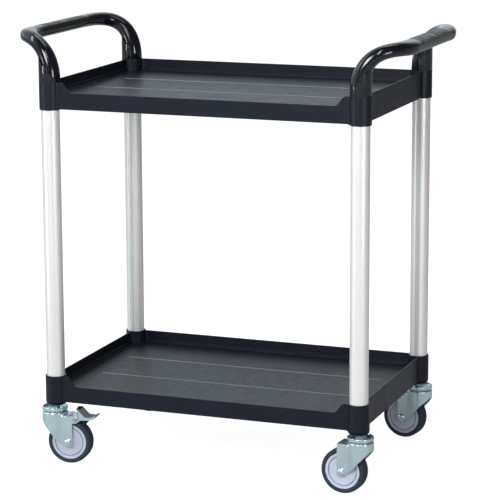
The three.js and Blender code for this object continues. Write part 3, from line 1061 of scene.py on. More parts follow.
    def socket(self, corner: Corner) -> Piece:
        """The sleeve that holds a post, with eased ends.

        Args:
            corner: Its corner.

        Returns:
            The sleeve, not yet bored to size.
        """
        foot, lip = self.foot_round, 0.5
        low, radius = -self.socket_height, self.socket_radius
        profile = [
            (self.bore - 2, low),
            *arc((radius - foot, low + foot), foot, -90, 0, 6),
            *arc((radius - lip, -lip), lip, 0, 90, 3),
            (self.bore - 2, 0),
        ]
        return move(lathe("socket", profile, 96), corner.post)

    def bead(self, y: float) -> Piece:
        """A low rounded bead along the floor, with tapered ends.

        Args:
            y: Where it runs, across the trolley.

        Returns:
            The bead.
        """
        half, side, floor = self.half_x - self.bead_inset, self.bead_half_width, -self.floor
        ends = [(0.0, 0.05), (1.0, 0.45), (2.5, 0.8), (5.0, 1.0)]
        stations = [(-half + d, h) for d, h in ends] + [(half - d, h) for d, h in reversed(ends)]
        rings = []
        for x, share in stations:
            ring = [(x, y + side, floor - 1), (x, y + side, floor)]
            for i in range(1, 12):
                turn = math.pi * i / 12
                lift = self.bead_height * share * math.sin(turn) ** 0.9
                ring.append((x, y + side * math.cos(turn), floor + lift))
            ring += [(x, y - side, floor), (x, y - side, floor - 1)]
            rings.append(ring)
        return loft("bead", rings)

    def ribs(self) -> list[Piece]:
        """The stiffening ribs under the floor.

        Returns:
            Two ribs along the trolley and three across it.
        """
        inner_x = self.half_x + self.end_overhang - self.wall
        inner_y = self.half_y + self.side_overhang - self.wall
        top, low = -self.floor - 1, -self.floor - self.floor_thickness - self.rib_depth
        half = self.rib_width / 2
        made = []
        for y in (-inner_y / 3, inner_y / 3):
            made.append(block("rib", (-inner_x - 0.5, y - half, low), (inner_x + 0.5, y + half, top)))
        for x in (-inner_x / 2, 0.0, inner_x / 2):
            made.append(block("rib", (x - half, -inner_y - 0.5, low), (x + half, inner_y + 0.5, top)))
        return made

    def gate_mark(self) -> Piece:
        """The trimmed moulding gate in the middle of the floor: a low disc with a dimple.

        Returns:
            The disc.
        """
        low = -self.floor - 1
        top = -self.floor
        profile = [
            (0, low),
            (6.5, low),
            (6.5, top),
            (6.0, top + 0.25),
            (4.4, top + 0.3),
            (3.4, top + 0.12),
            (0, top + 0.1),
        ]
        return lathe("gate", profile, 40)

    def oval_mark(self) -> Piece:
        """A small oval ejector mark on the outside of the right end wall.

        Returns:
            The oval.
        """
        out = self.half_x + self.end_overhang
        half_width, half_height, y, z = 2.7, 5.4, -12, -29
        turns = [2 * math.pi * i / 28 for i in range(28)]
        steps = ((-1, 1.0), (0, 1.0), (0.35, 0.86), (0.35, 0.62), (0.1, 0.5))
        rings = []
        for rise, grow in steps:
            wide, tall = half_width * grow, half_height * grow
            rings.append([(out + rise, wide * math.cos(a) + y, tall * math.sin(a) + z) for a in turns])
        return loft("oval", rings)

    def build(self) -> Piece:
        """Joins the walls, floor, ribs, beads and sockets into one moulding.

        Returns:
            The tray, with its sockets bored and at its height.
        """
        inner_x = self.half_x + self.end_overhang - self.wall
        inner_y = self.half_y + self.side_overhang - self.wall
        under = -self.floor - self.floor_thickness
        tray = block(
            self.name, (-inner_x - 1, -inner_y - 1, under), (inner_x + 1, inner_y + 1, -self.floor)
        )
        parts = [self.front_wall("front"), self.straight_wall("back", True, 1)]
        parts += [self.straight_wall("end", False, side) for side in (-1, 1)]
        parts += [self.bead(y) for y in (-inner_y / 3, inner_y / 3)]
        parts += [*self.ribs(), self.gate_mark()]
        if self.end_mark:
            parts.append(self.oval_mark())
        for corner in self.sites:
            parts += [self.socket(corner), *self.fillets(corner)]
        work(tray, parts, Cut.JOIN)
        chamfer = 0.5
        bore = [
            (0, -self.socket_height - 1),
            (self.bore + chamfer, -self.socket_height - 1),
            (self.bore + chamfer, -self.socket_height),
            (self.bore, -self.socket_height + chamfer),
            (self.bore, -chamfer),
            (self.bore + chamfer, 0),
            (self.bore + chamfer, 1),
            (0, 1),
        ]
        work(tray, [move(lathe("bore", bore, 96), corner.post) for corner in self.sites], Cut.REMOVE)
        bead_y, low, high = inner_y / 3, 0.06 - self.floor, self.bead_height + 0.1 - self.floor
        end = self.half_x - self.bead_inset

        def on_bead_highlight(place: Vector) -> bool:
            """True on the crest of either bead, which is painted pale as a highlight."""
            beside = abs(abs(place.y) - bead_y) < self.bead_half_width
            return low < place.z < high and abs(place.x) < end and beside

        # The bead crests get the paler plastic as a painted highlight.
        recolour(tray, (TRAY_PLASTIC.material(), BEAD_HIGHLIGHT_PLASTIC.material()), on_bead_highlight)
        return move(polish(tray), shift(z=self.top))

    def dress(self) -> Piece:
        """Builds the tray and fixes it to the frame."""
        return fit(self.build(), TRAY_PLASTIC, Body.FRAME.at(""), Slot.TRAY, self.name)


# ---------------------------------------------------------------- posts and their screws


@dataclass
class Post:
    """An extruded post with a shallow channel down its inner side."""

    site: Corner
    radius: float = 19.0
    wall: float = 1.8
    channel_width: float = 10.0
    channel_depth: float = 1.3
    lip: float = 0.35
    end_ease: float = 0.3

    def outline(self) -> list[tuple[float, float]]:
        """The angle and radius of each point round the post, with the channel at angle 0.

        Returns:
            The points, in order.
        """
        half = math.asin(self.channel_width / 2 / self.radius)
        ease = self.lip / self.radius
        floor = self.radius - self.channel_depth
        channel = [(half * (i / 5 - 1) * 0.97, floor) for i in range(11)]
        edge = [(half, floor + 0.25), (half + ease * 0.4, self.radius - 0.1), (half + ease, self.radius)]
        sweep = 2 * (math.pi - half - ease)
        round_side = [(half + ease + sweep * i / 80, self.radius) for i in range(1, 80)]
        return [*channel, *edge, *round_side, *[(-a, r) for a, r in reversed(edge)]]

    def build(self) -> Piece:
        """Extrudes the outline round a plain bore.

        Returns:
            The post, on its corner.
        """
        node = self.site.named("post")
        low, high = (corner.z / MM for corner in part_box(node))
        facing = -self.site.end * math.pi / 2
        bore, ease = self.radius - self.wall, self.end_ease
        outer_levels = ((low, ease), (low + ease, 0), (high - ease, 0), (high, ease))
        sections = [(low, None), *outer_levels, (high, None)]
        rings = []
        for z, inset in sections:
            ring = []
            for angle, radius in self.outline():
                r = bore if inset is None else radius - inset
                ring.append((r * math.cos(angle + facing), r * math.sin(angle + facing), z))
            rings.append(ring)
        post = loft(f"{node}_extrusion", rings, closed=True)
        floor = self.radius - self.channel_depth

        def in_shaded_channel(place: Vector) -> bool:
            """True on the floor of the channel, which is painted darker as shade."""
            return bore + 0.2 < math.hypot(place.x, place.y) < floor + 0.1

        # The channel's floor gets the darker aluminium as painted shade.
        recolour(post, (POST_METAL.material(), CHANNEL_SHADE_METAL.material()), in_shaded_channel)
        return polish(move(post, self.site.post), 28)

    def dress(self) -> Piece:
        """Builds the post and fixes it to the frame."""
        return fit(self.build(), POST_METAL, Body.FRAME.at(""), Slot.POST, self.site.named("post"))


@dataclass
class PostScrew:
    """The self-tapping screw driven through an upper socket from under the tray."""

    site: Corner
    seam: float
    drop: float = 37.0
    seat: float = 22.3
    head_radius: float = 4.0
    head_thickness: float = 2.4
    shank_radius: float = 2.0
    tip: float = 12.5

    def build(self) -> Piece:
        """Turns a pan head and a threaded shank, and sinks a cross in the head.

        Returns:
            The screw, in its socket.
        """
        top = self.seat + self.head_thickness
        thread: list[Flat] = []
        z = self.tip + 2.0
        while z < self.seat - 0.6:
            thread += [(self.shank_radius - 0.35, z), (self.shank_radius, z + 0.35)]
            z += 0.7
        profile = [
            (0, self.tip),
            *thread,
            (self.shank_radius - 0.35, self.seat),
            (self.head_radius, self.seat),
            *arc((self.head_radius - 1.2, top - 1.2), 1.2, 0, 60, 4),
            (self.head_radius * 0.45, top),
            (0, top),
        ]
        screw = lathe(f"{self.site.named('post_screw')}_turned", profile, 28)
        deep, long, wide = top - 1.3, 2.1, 0.45
        sides = ((long, wide), (wide, long))
        slots = [block("slot", (-x, -y, deep), (x, y, top + 1)) for x, y in sides]
        work(screw, slots, Cut.REMOVE)
        inward = math.atan2(-self.site.end, -self.site.side)
        turn = Matrix.Rotation(inward, 4, "Z") @ Matrix.Rotation(math.pi / 2, 4, "Y")
        return polish(move(screw, self.site.post @ shift(z=self.seam - self.drop) @ turn))

    def dress(self) -> Piece:
        """Builds the screw and fixes it to the frame."""
        return fit(self.build(), STEEL, Body.FRAME.at(""), Slot.STEEL, self.site.named("post_screw"))


# ---------------------------------------------------------------- handles


@dataclass
class Handle:
    """A push handle: two legs on the sockets, bends that sweep out, and a flattened grip."""

    name: str
    side: int
    half_x: float
    half_y: float
    seam: float
    leg_radius: float = 22.0
    leg_height: float = 54.0
    spigot_radius: float = 16.9
    spigot_depth: float = 42.0
    rise: float = 87.0
    reach: float = 74.0
    bend_rise: float = 98.0
    bend_sweep: float = 94.0
    run_in: float = 91.0
    across_sizes: tuple[float, float, float] = (20.0, 16.1, 18.8)
    thick_sizes: tuple[float, float, float] = (18.0, 14.1, 13.6)
    squareness: Flat = (2.0, 2.9)
    tilt: float = 8.0
    pad_start: float = 6.0
    pad_stop: float = 98.0
    pad_lift: float = 0.7
    pad_span: Flat = (24.0, 156.0)

    @staticmethod
    def ease(low: float, high: float, value: float) -> float:
        """A smooth step from 0 to 1 between two values."""
        t = max(0.0, min(1.0, (value - low) / (high - low)))
        return t * t * (3 - 2 * t)

    def between(self, sizes: tuple[float, float, float], t: float) -> float:
        """A size that changes from the leg, past the middle of the bend, to the grip.

        Args:
            sizes: Its value at the leg, the middle and the grip.
            t: The place on the bend, where 1 is the grip.

        Returns:
            The size there.
        """
        start, middle, end = sizes
        if t < 0.5:
            return start + (middle - start) * self.ease(0, 0.5, t)
        return middle + (end - middle) * self.ease(0.5, 1, t)

    def line(self, t: float) -> tuple[Vector, Vector]:
        """The middle line's point and direction on the front bend.

        Args:
            t: The place on the bend, where 1 is the grip.

        Returns:
            The point and the direction.
        """
        start = self.thick_sizes[0] - self.leg_radius
        grip = -self.half_y + self.run_in
        row = [
            Vector((start, -self.half_y, 0)),
            Vector((start, -self.half_y, self.bend_rise)),
            Vector((self.reach, grip - self.bend_sweep, self.rise)),
            Vector((self.reach, grip, self.rise)),
        ]
        while len(row) > 2:
            row = [a.lerp(b, t) for a, b in zip(row, row[1:])]
        return row[0].lerp(row[1], t), (row[1] - row[0]).normalized()

    def pad(self, y: float, turn: float) -> float:
        """How far a point of the grip is on a raised pad, from 0 to 1.

        Args:
            y: The point's place along the grip.
            turn: Its angle round the section in degrees, with 90 on top.

        Returns:
            1 on a pad, 0 off it, and between the two on its eased edge.
        """
        along = min(abs(y) - self.pad_start, self.pad_stop - abs(y))
        low, high = self.pad_span
        round_it = min(turn - low, high - turn) * 0.3
        return self.ease(0, 1.6, min(along, round_it))

    def ring(self, t: float, y: float | None) -> list[Point]:
        """One section of the tube.

        Args:
            t: Its place on the bend, where 1 is the grip.
            y: Its place along the grip, or None on the bend.

        Returns:
            The section's points.
        """
        centre, along = self.line(t)
        turn = self.ease(0, 1, t)
        through = Vector((turn - 1, 0, turn))
        through = (through - along * through.dot(along)).normalized()
        over = along.cross(through)
        spin = Matrix.Rotation(math.radians(self.tilt) * self.ease(0.3, 0.9, t), 3, along)
        through, over = spin @ through, spin @ over
        if y is not None:
            centre = Vector((centre.x, y, centre.z))
        half_over, half_through = self.between(self.across_sizes, t), self.between(self.thick_sizes, t)
        power = 2 / (self.squareness[0] + (self.squareness[1] - self.squareness[0]) * turn)
        points = []
        for angle in self.section_angles():
            c, s = math.cos(angle), math.sin(angle)
            u = math.copysign(abs(c) ** power, c) * half_over
            v = math.copysign(abs(s) ** power, s) * half_through
            if y is not None:
                lift = self.pad_lift * (self.pad(y, math.degrees(angle) % 360) - 1)
                outward = Vector((c, s)).normalized()
                u, v = u + outward.x * lift, v + outward.y * lift
            points.append(tuple(centre + over * u + through * v))
        return points

    def section_angles(self) -> list[float]:
        """The angles of the section's points, closer together at the pads' edges.

        Returns:
            The angles, in radians.
        """
        low, high = self.pad_span
        degrees = [6.0 * i for i in range(60)]
        for edge, way in ((low, 1), (high, -1)):
            degrees += [edge + way * d for d in (0.0, 1.3, 2.7, 4.0, 5.3)]
        kept = []
        for value in sorted(degrees):
            if not kept or value - kept[-1] > 0.9:
                kept.append(value)
        return [math.radians(value) for value in kept]

    def stations(self) -> list[float]:
        """The places along the grip, closer together at the pads' ends.

        Returns:
            The places, from front to back.
        """
        half = self.half_y - self.run_in
        places = [half * (i / 24 - 1) for i in range(49)]
        for end, way in ((self.pad_start, 1), (self.pad_stop, -1)):
            for d in (0.0, 0.4, 0.8, 1.2, 1.6):
                places += [end + way * d, -(end + way * d)]
        kept: list[float] = []
        for value in sorted(places):
            if not kept or value - kept[-1] > 0.3:
                kept.append(value)
        return kept

    def tube(self, name: str) -> Piece:
        """The whole tube, from leg to leg.

        Args:
            name: The piece's name.

        Returns:
            The tube.
        """
        steps = 44
        front = [self.ring(i / steps, None) for i in range(steps)]
        back = [[(x, -y, z) for x, y, z in ring] for ring in reversed(front)]
        grip = [self.ring(1.0, y) for y in self.stations()]
        front[0] = [(x, y, GAP / 2) for x, y, _ in front[0]]
        back[-1] = [(x, y, GAP / 2) for x, y, _ in back[-1]]
        return loft(name, [*front, *grip, *back])

    def leg(self, y: float) -> Piece:
        """A leg with an eased foot, cut on a slope at its top, and the spigot under it.

        Args:
            y: The leg's place across the trolley.

        Returns:
            The leg and its spigot.
        """
        radius, low = self.leg_radius, GAP / 2
        far_out = radius + 1
        profile = [
            (self.spigot_radius - 1.0, -self.spigot_depth),
            (self.spigot_radius, 1.0 - self.spigot_depth),
            (self.spigot_radius, low),
            (radius - 0.5, low),
            (radius - 0.15, low + 0.15),
            (radius, low + 0.5),
        ]
        turns = [2 * math.pi * i / 96 for i in range(96)]
        rows = [[(r * math.cos(a), y + r * math.sin(a), z) for a in turns] for r, z in profile]
        slope = (self.leg_height - 1) / (2 * far_out)
        top = []
        for a in turns:
            x = radius * math.cos(a)
            top.append((x, y + radius * math.sin(a), 1.5 + (x + far_out) * slope))
        return loft("leg", [*rows, top])

    def build(self) -> Piece:
        """Joins the tube and its legs, and marks the pads' faces.

        Returns:
            The handle, on its sockets.
        """
        handle = self.tube(f"{self.name}_moulding")
        work(handle, [self.leg(-self.half_y), self.leg(self.half_y)], Cut.JOIN)
        centre = Vector((self.reach, self.rise))
        tilt = math.radians(self.tilt)
        power = self.squareness[1] / 2

        def on_pad(place: Vector) -> bool:
            """True on the top of a raised pad."""
            out = Vector((place.x, place.z)) - centre
            u = -(out.x * math.cos(tilt) - out.y * math.sin(tilt)) / self.across_sizes[2]
            v = (out.x * math.sin(tilt) + out.y * math.cos(tilt)) / self.thick_sizes[2]
            lengths = math.copysign(abs(v) ** power, v), math.copysign(abs(u) ** power, u)
            turn = math.degrees(math.atan2(*lengths)) % 360
            return abs(place.y) < self.half_y - self.run_in and self.pad(place.y, turn) > 0.55

        recolour(handle, (HANDLE_PLASTIC.material(), GRIP_PLASTIC.material()), on_pad)
        if self.side < 0:
            move(handle, Matrix.Rotation(math.pi, 4, "Z"))
        move(handle, shift(self.side * self.half_x, 0, self.seam))
        return polish(handle, 30, weighted=False)

    def dress(self) -> Piece:
        """Builds the handle and fixes it to the frame."""
        return fit(self.build(), HANDLE_PLASTIC, Body.FRAME.at(""), Slot.HANDLE, self.name)


# ---------------------------------------------------------------- casters


@dataclass
class Fork:
    """A pressed fork: a round crown, flat cheeks that flare into it, and ears if it has a brake."""

    site: Corner
    ring_radius: float = 26.7
    ring_top: float = 109.5
    ring_round: float = 2.4
    plate_top: float = 105.0
    sheet: float = 2.5
    bend: float = 3.0
    half_width: float = 20.0
    eye_gap: float = 9.0
    flat_start: float = 17.0
    eye_radius: float = 10.5
    back_height: float = 96.0

    @property
    def front(self) -> float:
        """The cheeks' front edge, past the axle."""
        return self.site.trail + self.eye_gap

    def plan(self, inset: float, front: float) -> list[Flat]:
        """The fork's plan outline, moved in by an inset.

        Args:
            inset: How far it is moved in.
            front: The cheeks' front edge.

        Returns:
            The outline.
        """
        radius, half = self.ring_radius - inset, self.half_width - inset
        turn = math.degrees(1.2)
        join = (radius * math.cos(1.2), radius * math.sin(1.2))
        flare = bezier([(self.flat_start + 6, half), (self.flat_start + 1, half), join], 8)
        back = arc((0, 0), radius, turn, 360 - turn, 40)[1:-1]
        return [(front, -half), (front, half), *flare, *back, *[(x, -y) for x, y in reversed(flare)]]

    def side_outline(self) -> list[Flat]:
        """The side outline that the shell is trimmed to: a slope behind and a round eye.

        Returns:
            The outline.
        """
        back = -self.ring_radius - 2
        eye = trail, axle = (self.site.trail, self.site.axle_height)
        slope = math.atan2(self.back_height - axle, trail + self.ring_radius)
        leave = (trail - 16 - self.eye_radius * math.sin(slope), axle + 5)
        return [
            (back, self.ring_top + 1),
            (back, self.back_height),
            leave,
            *arc(eye, self.eye_radius, 202, 342, 18),
            (self.front - 0.6, axle),
            (self.front, axle + 4),
            (self.front, self.ring_top + 1),
        ]

    def ear_outline(self) -> list[Flat]:
        """The side outline of a brake ear, which starts inside the cheek.

        Returns:
            The outline.
        """
        x, z = self.site.pivot
        return [
            (self.front - 6, self.plate_top - 22),
            (self.front - 0.2, z - 15),
            *bezier([(self.front, z - 12), (self.front + 0.5, z - 9), (self.front + 4, z - 8.6)], 5),
            *bezier([(x + 1, z - 8.2), (x + 6.5, z - 7), (x + 6.2, z - 1)], 6),
            *bezier([(x + 5.6, z + 9), (x + 5, z + 18.5), (x + 0.8, z + 17.6)], 8),
            *bezier([(x - 2.4, z + 16.8), (x - 2, z + 12), (x - 7, z + 6)], 5),
            (self.front - 6, self.plate_top - 8),
        ]

    def build(self, name: str) -> Piece:
        """Presses the shell, trims it, and adds the crown.

        Args:
            name: The piece's name.

        Returns:
            The fork, about its swivel axis.
        """
        levels = [(0.0, -1.0), (0.0, self.plate_top - self.bend)]
        levels += [
            (self.bend * (1 - math.cos(a)), self.plate_top - self.bend + self.bend * math.sin(a))
            for a in (math.pi / 2 * i / 5 for i in range(1, 6))
        ]
        inner_bend = max(0.4, self.bend - self.sheet)
        under = self.plate_top - self.sheet
        fork = loft(name, [[(x, y, z) for x, y in self.plan(inset, self.front)] for inset, z in levels])
        hollow = [(self.sheet, -2.0), (self.sheet, under - inner_bend), (self.sheet + inner_bend, under)]
        plans = [(self.plan(inset, self.front + 1), z) for inset, z in hollow]
        core = loft("core", [[(x, y, z) for x, y in plan] for plan, z in plans])
        work(fork, [core], Cut.REMOVE)
        trim = across("trim", self.side_outline(), -self.ring_radius - 1, self.ring_radius + 1)
        work(fork, [trim], Cut.KEEP)
        hole = self.ring_radius - self.sheet
        low, high = under - 1, self.ring_top - 5
        room = lathe("room", [(0, low), (hole, low), (hole, high), (0, high)])
        work(fork, [room], Cut.REMOVE)
        crown_top, crown_low = self.ring_top, self.ring_top - self.sheet
        rounded = self.ring_radius - self.ring_round
        crown = lathe(
            "crown",
            [
                (6.3, crown_low),
                *arc((hole - 1, crown_low - 1), 1, 90, 0, 3),
                (hole, self.plate_top - 2.4),
                (self.ring_radius, self.plate_top - 2.4),
                *arc((rounded, crown_top - self.ring_round), self.ring_round, 0, 90, 6),
                (6.3, crown_top),
            ],
            96,
        )
        work(fork, [crown], Cut.JOIN)
        if self.site.pivot:
            low, high = self.half_width - self.sheet, self.half_width
            spans = ((low, high), (-high, -low))
            ears = [across("ear", self.ear_outline(), *span) for span in spans]
            work(fork, ears, Cut.JOIN)
        return fork


@dataclass
class Caster:
    """A swivel caster: plug, stem, raceway, fork, axle and wheel."""

    site: Corner
    socket_bottom: float
    plug_depth: float = 40.0
    flange: float = 4.2
    flange_top: float = 21.5
    flange_bottom: float = 18.5
    spigot_radius: float = 16.9
    stem_radius: float = 6.0
    stem_top: float = 166.0
    hex_across: float = 19.0
    hex_low: float = 114.9
    rivet_low: float = 102.6
    rivet_top: float = 106.4
    hex_top: float = 124.2
    cup_radius: float = 27.0
    cup_bottom: float = 112.0
    cup_floor: float = 114.6
    cup_rim: float = 119.6
    race_low: float = 109.8
    race_top: float = 111.7
    cheek: float = 20.3
    tyre_inner: float = 37.3

    @property
    def axle(self) -> Matrix:
        """Moves a piece that was turned about the upright axis onto the axle."""
        return self.site.swivel @ shift(self.site.trail, 0, self.site.axle_height) @ SIDEWAYS

    def plug(self) -> Piece:
        """The plastic plug in the foot of the post, with a thin flange, bored for the stem.

        Returns:
            The plug, in its post.
        """
        top = self.socket_bottom - GAP
        low = top - self.flange
        bore = self.stem_radius + GAP
        profile = [
            (0, low),
            *arc((self.flange_bottom - 0.8, low + 0.8), 0.8, -90, -20, 3),
            *arc((self.flange_top - 0.6, top - 0.6), 0.6, 0, 90, 3),
            (self.spigot_radius, top),
            (self.spigot_radius, top + self.plug_depth - 2),
            (self.spigot_radius - 1.5, top + self.plug_depth),
            (0, top + self.plug_depth),
        ]
        plug = lathe(f"{self.site.named('stem_plug')}_moulding", profile)
        end = self.stem_top + 5
        hole = lathe("hole", [(0, low - 1), (bore, low - 1), (bore, end), (0, end)], 32)
        work(plug, [move(hole, shift(self.site.offset))], Cut.REMOVE)
        return move(plug, self.site.post)

    def stem(self) -> Piece:
        """The stem with its hexagon, washer face and rivet head.

        Returns:
            The stem, in place.
        """
        rod = [
            (0, self.rivet_low),
            (7.0, self.rivet_low),
            (8.6, self.rivet_low + 1),
            (9.0, self.rivet_low + 2.6),
            (9.0, self.rivet_top),
            (self.stem_radius, self.rivet_top),
            (self.stem_radius, self.stem_top - 1),
            (self.stem_radius - 1, self.stem_top),
            (0, self.stem_top),
        ]
        stem = lathe(f"{self.site.named('stem')}_turned", rod, 48)
        corner_radius = self.hex_across / 2 / math.cos(math.pi / 6)
        turns = [math.pi / 3 * i + 0.35 for i in range(6)]
        plan = [(corner_radius * math.cos(a), corner_radius * math.sin(a)) for a in turns]
        nut = prism("hexagon", plan, self.hex_low, self.hex_top)
        ease = corner_radius - self.hex_across / 2 + 0.3
        dome = [
            (0, self.hex_low - 1),
            (corner_radius + 1, self.hex_low - 1),
            (corner_radius + 1, self.hex_top - ease * 0.75),
            (self.hex_across / 2 - 0.3, self.hex_top),
            (0, self.hex_top),
        ]
        work(nut, [lathe("chamfer", dome, 64)], Cut.KEEP)
        work(stem, [nut], Cut.JOIN)
        return move(polish(stem), self.site.stem)

    def cup(self) -> Piece:
        """The dished upper race with its rolled rim.

        Returns:
            The race, in place.
        """
        bore, radius, low = self.stem_radius + GAP, self.cup_radius, self.cup_bottom
        profile = [
            (bore, low),
            (radius - 3.4, low),
            *arc((radius - 3.2, low + 3.2), 3.2, -80, 0, 5),
            *arc((radius - 1.15, self.cup_rim - 1.15), 1.15, 0, 180, 8),
            (radius - 2.5, self.cup_rim - 2.2),
            *arc((radius - 4.8, self.cup_floor + 1.4), 1.4, 0, -90, 4),
            (bore, self.cup_floor),
        ]
        cup = lathe(f"{self.site.named('raceway_cup')}_pressing", profile, 96)
        return move(polish(cup), self.site.stem)

    def bearing(self) -> Piece:
        """The ring of balls' cage between the cup and the fork, set back in a dark gap.

        Returns:
            The ring, in place.
        """
        low, top, bore, side, ease = self.race_low, self.race_top, 14.0, 23.5, 0.5
        profile = [
            (bore, low),
            (side - 0.7, low),
            (side, low + ease),
            (side, top - ease),
            (side - 0.7, top),
            (bore, top),
        ]
        ring = lathe(f"{self.site.named('swivel_bearing')}_race", profile)
        return move(polish(ring), self.site.swivel)

    def core(self) -> Piece:
        """The wheel's plastic core: hub, disc, groove and rim.

        Returns:
            The core, on its axle.
        """
        half = [
            (6.3, 16.4),
            (10.2, 16.4),
            *arc((10.2, 15.6), 0.8, 80, 0, 3),
            (11.2, 13.6),
            *arc((12.2, 13.8), 1.0, 190, 270, 3),
            (28.2, 12.7),
            *arc((28.4, 12.1), 0.6, 80, 0, 3),
            (29.2, 8.6),
            (31.2, 8.6),
            *arc((31.9, 12.2), 0.8, 180, 90, 3),
            (35.6, 13.0),
            *arc((36.0, 12.0), 1.0, 80, 0, 4),
        ]
        core = lathe(f"{self.site.named('wheel_core')}_moulding", both_sides(half), 96)
        return move(polish(core), self.axle)

    def tyre(self) -> Piece:
        """The bonded tyre, with a crowned tread and soft shoulders.

        Returns:
            The tyre, on its axle.
        """
        tread = self.site.axle_height
        half = [
            (self.tyre_inner, 12.2),
            (self.tyre_inner + 0.3, 12.9),
            (self.tyre_inner + 1.3, 13.6),
            (tread - 5.2, 14.0),
            (tread - 3.6, 13.9),
            (tread - 2.2, 13.3),
            (tread - 1.1, 12.2),
            (tread - 0.4, 10.8),
            (tread - 0.1, 9.0),
            (tread, 6.0),
            (tread, 2.0),
        ]
        tyre = lathe(f"{self.site.named('tyre')}_bonded", both_sides(half), 128)
        return move(polish(tyre, 50), self.axle)

    def bolt(self, nut: bool) -> Piece:
        """The axle bolt or its cap nut: a domed end on a thin washer face.

        Args:
            nut: True for the nut.

        Returns:
            The bolt or the nut, in place.
        """
        seat = self.cheek
        dome = [
            (7.5, seat),
            (7.5, seat + 0.8),
            (7.1, seat + 1.0),
            (7.1, seat + 1.9),
            (6.6, seat + 3.0),
            (5.5, seat + 3.9),
            (4.0, seat + 4.3),
            (2.0, seat + 4.44),
            (0.0, seat + 4.44),
        ]
        if nut:
            profile = [(4.3, seat), *dome, (0, seat + 1), (4.3, seat + 1)]
            piece = lathe(f"{self.site.named('axle_nut')}_capped", profile, 48)
            piece.data.transform(Matrix.Rotation(math.pi, 4, "X"))
        else:
            profile = [(0, -seat - 0.5), (4.0, -seat - 0.5), (4.0, seat), *dome]
            piece = lathe(f"{self.site.named('axle_bolt')}_turned", profile, 48)
        return move(polish(piece), self.axle)

    def sleeve(self) -> Piece:
        """The spacer that the wheel's hub turns on.

        Returns:
            The spacer, in place.
        """
        half, bore, side, ease = 17.2, 4.3, 6.0, 0.3
        profile = [
            (bore, -half),
            (side - ease, -half),
            (side, ease - half),
            (side, half - ease),
            (side - ease, half),
            (bore, half),
        ]
        return move(polish(lathe(f"{self.site.named('axle_sleeve')}_turned", profile, 40)), self.axle)

    def dress(self) -> None:
        """Builds the caster's pieces and fixes each to what it moves with."""
        corner = self.site.name
        swivel, wheel = Body.SWIVEL.at(corner), Body.WHEEL.at(corner)
        shell = Fork(self.site).build(f"{self.site.named('fork')}_pressing")
        fork = polish(move(shell, self.site.swivel), 30)
        rows: list[tuple[Piece, Finish, str, Slot, str]] = [
            (polish(self.plug()), PLUG_PLASTIC, Body.FRAME.at(corner), Slot.PLUG, "stem_plug"),
            (self.stem(), ZINC, Body.FRAME.at(corner), Slot.ZINC, "stem"),
            (self.cup(), ZINC, Body.FRAME.at(corner), Slot.ZINC, "raceway_cup"),
            (self.bearing(), STEEL, swivel, Slot.STEEL, "swivel_bearing"),
            (fork, ZINC, swivel, Slot.ZINC, "fork"),
            (self.bolt(False), ZINC, swivel, Slot.ZINC, "axle_bolt"),
            (self.bolt(True), ZINC, swivel, Slot.ZINC, "axle_nut"),
            (self.sleeve(), STEEL, swivel, Slot.STEEL, "axle_sleeve"),
            (self.core(), WHEEL_PLASTIC, wheel, Slot.WHEEL, "wheel_core"),
            (self.tyre(), TYRE, wheel, Slot.TYRE, "tyre"),
        ]
        for piece, finish, body, slot, node in rows:
            fit(piece, finish, body, slot, self.site.named(node))


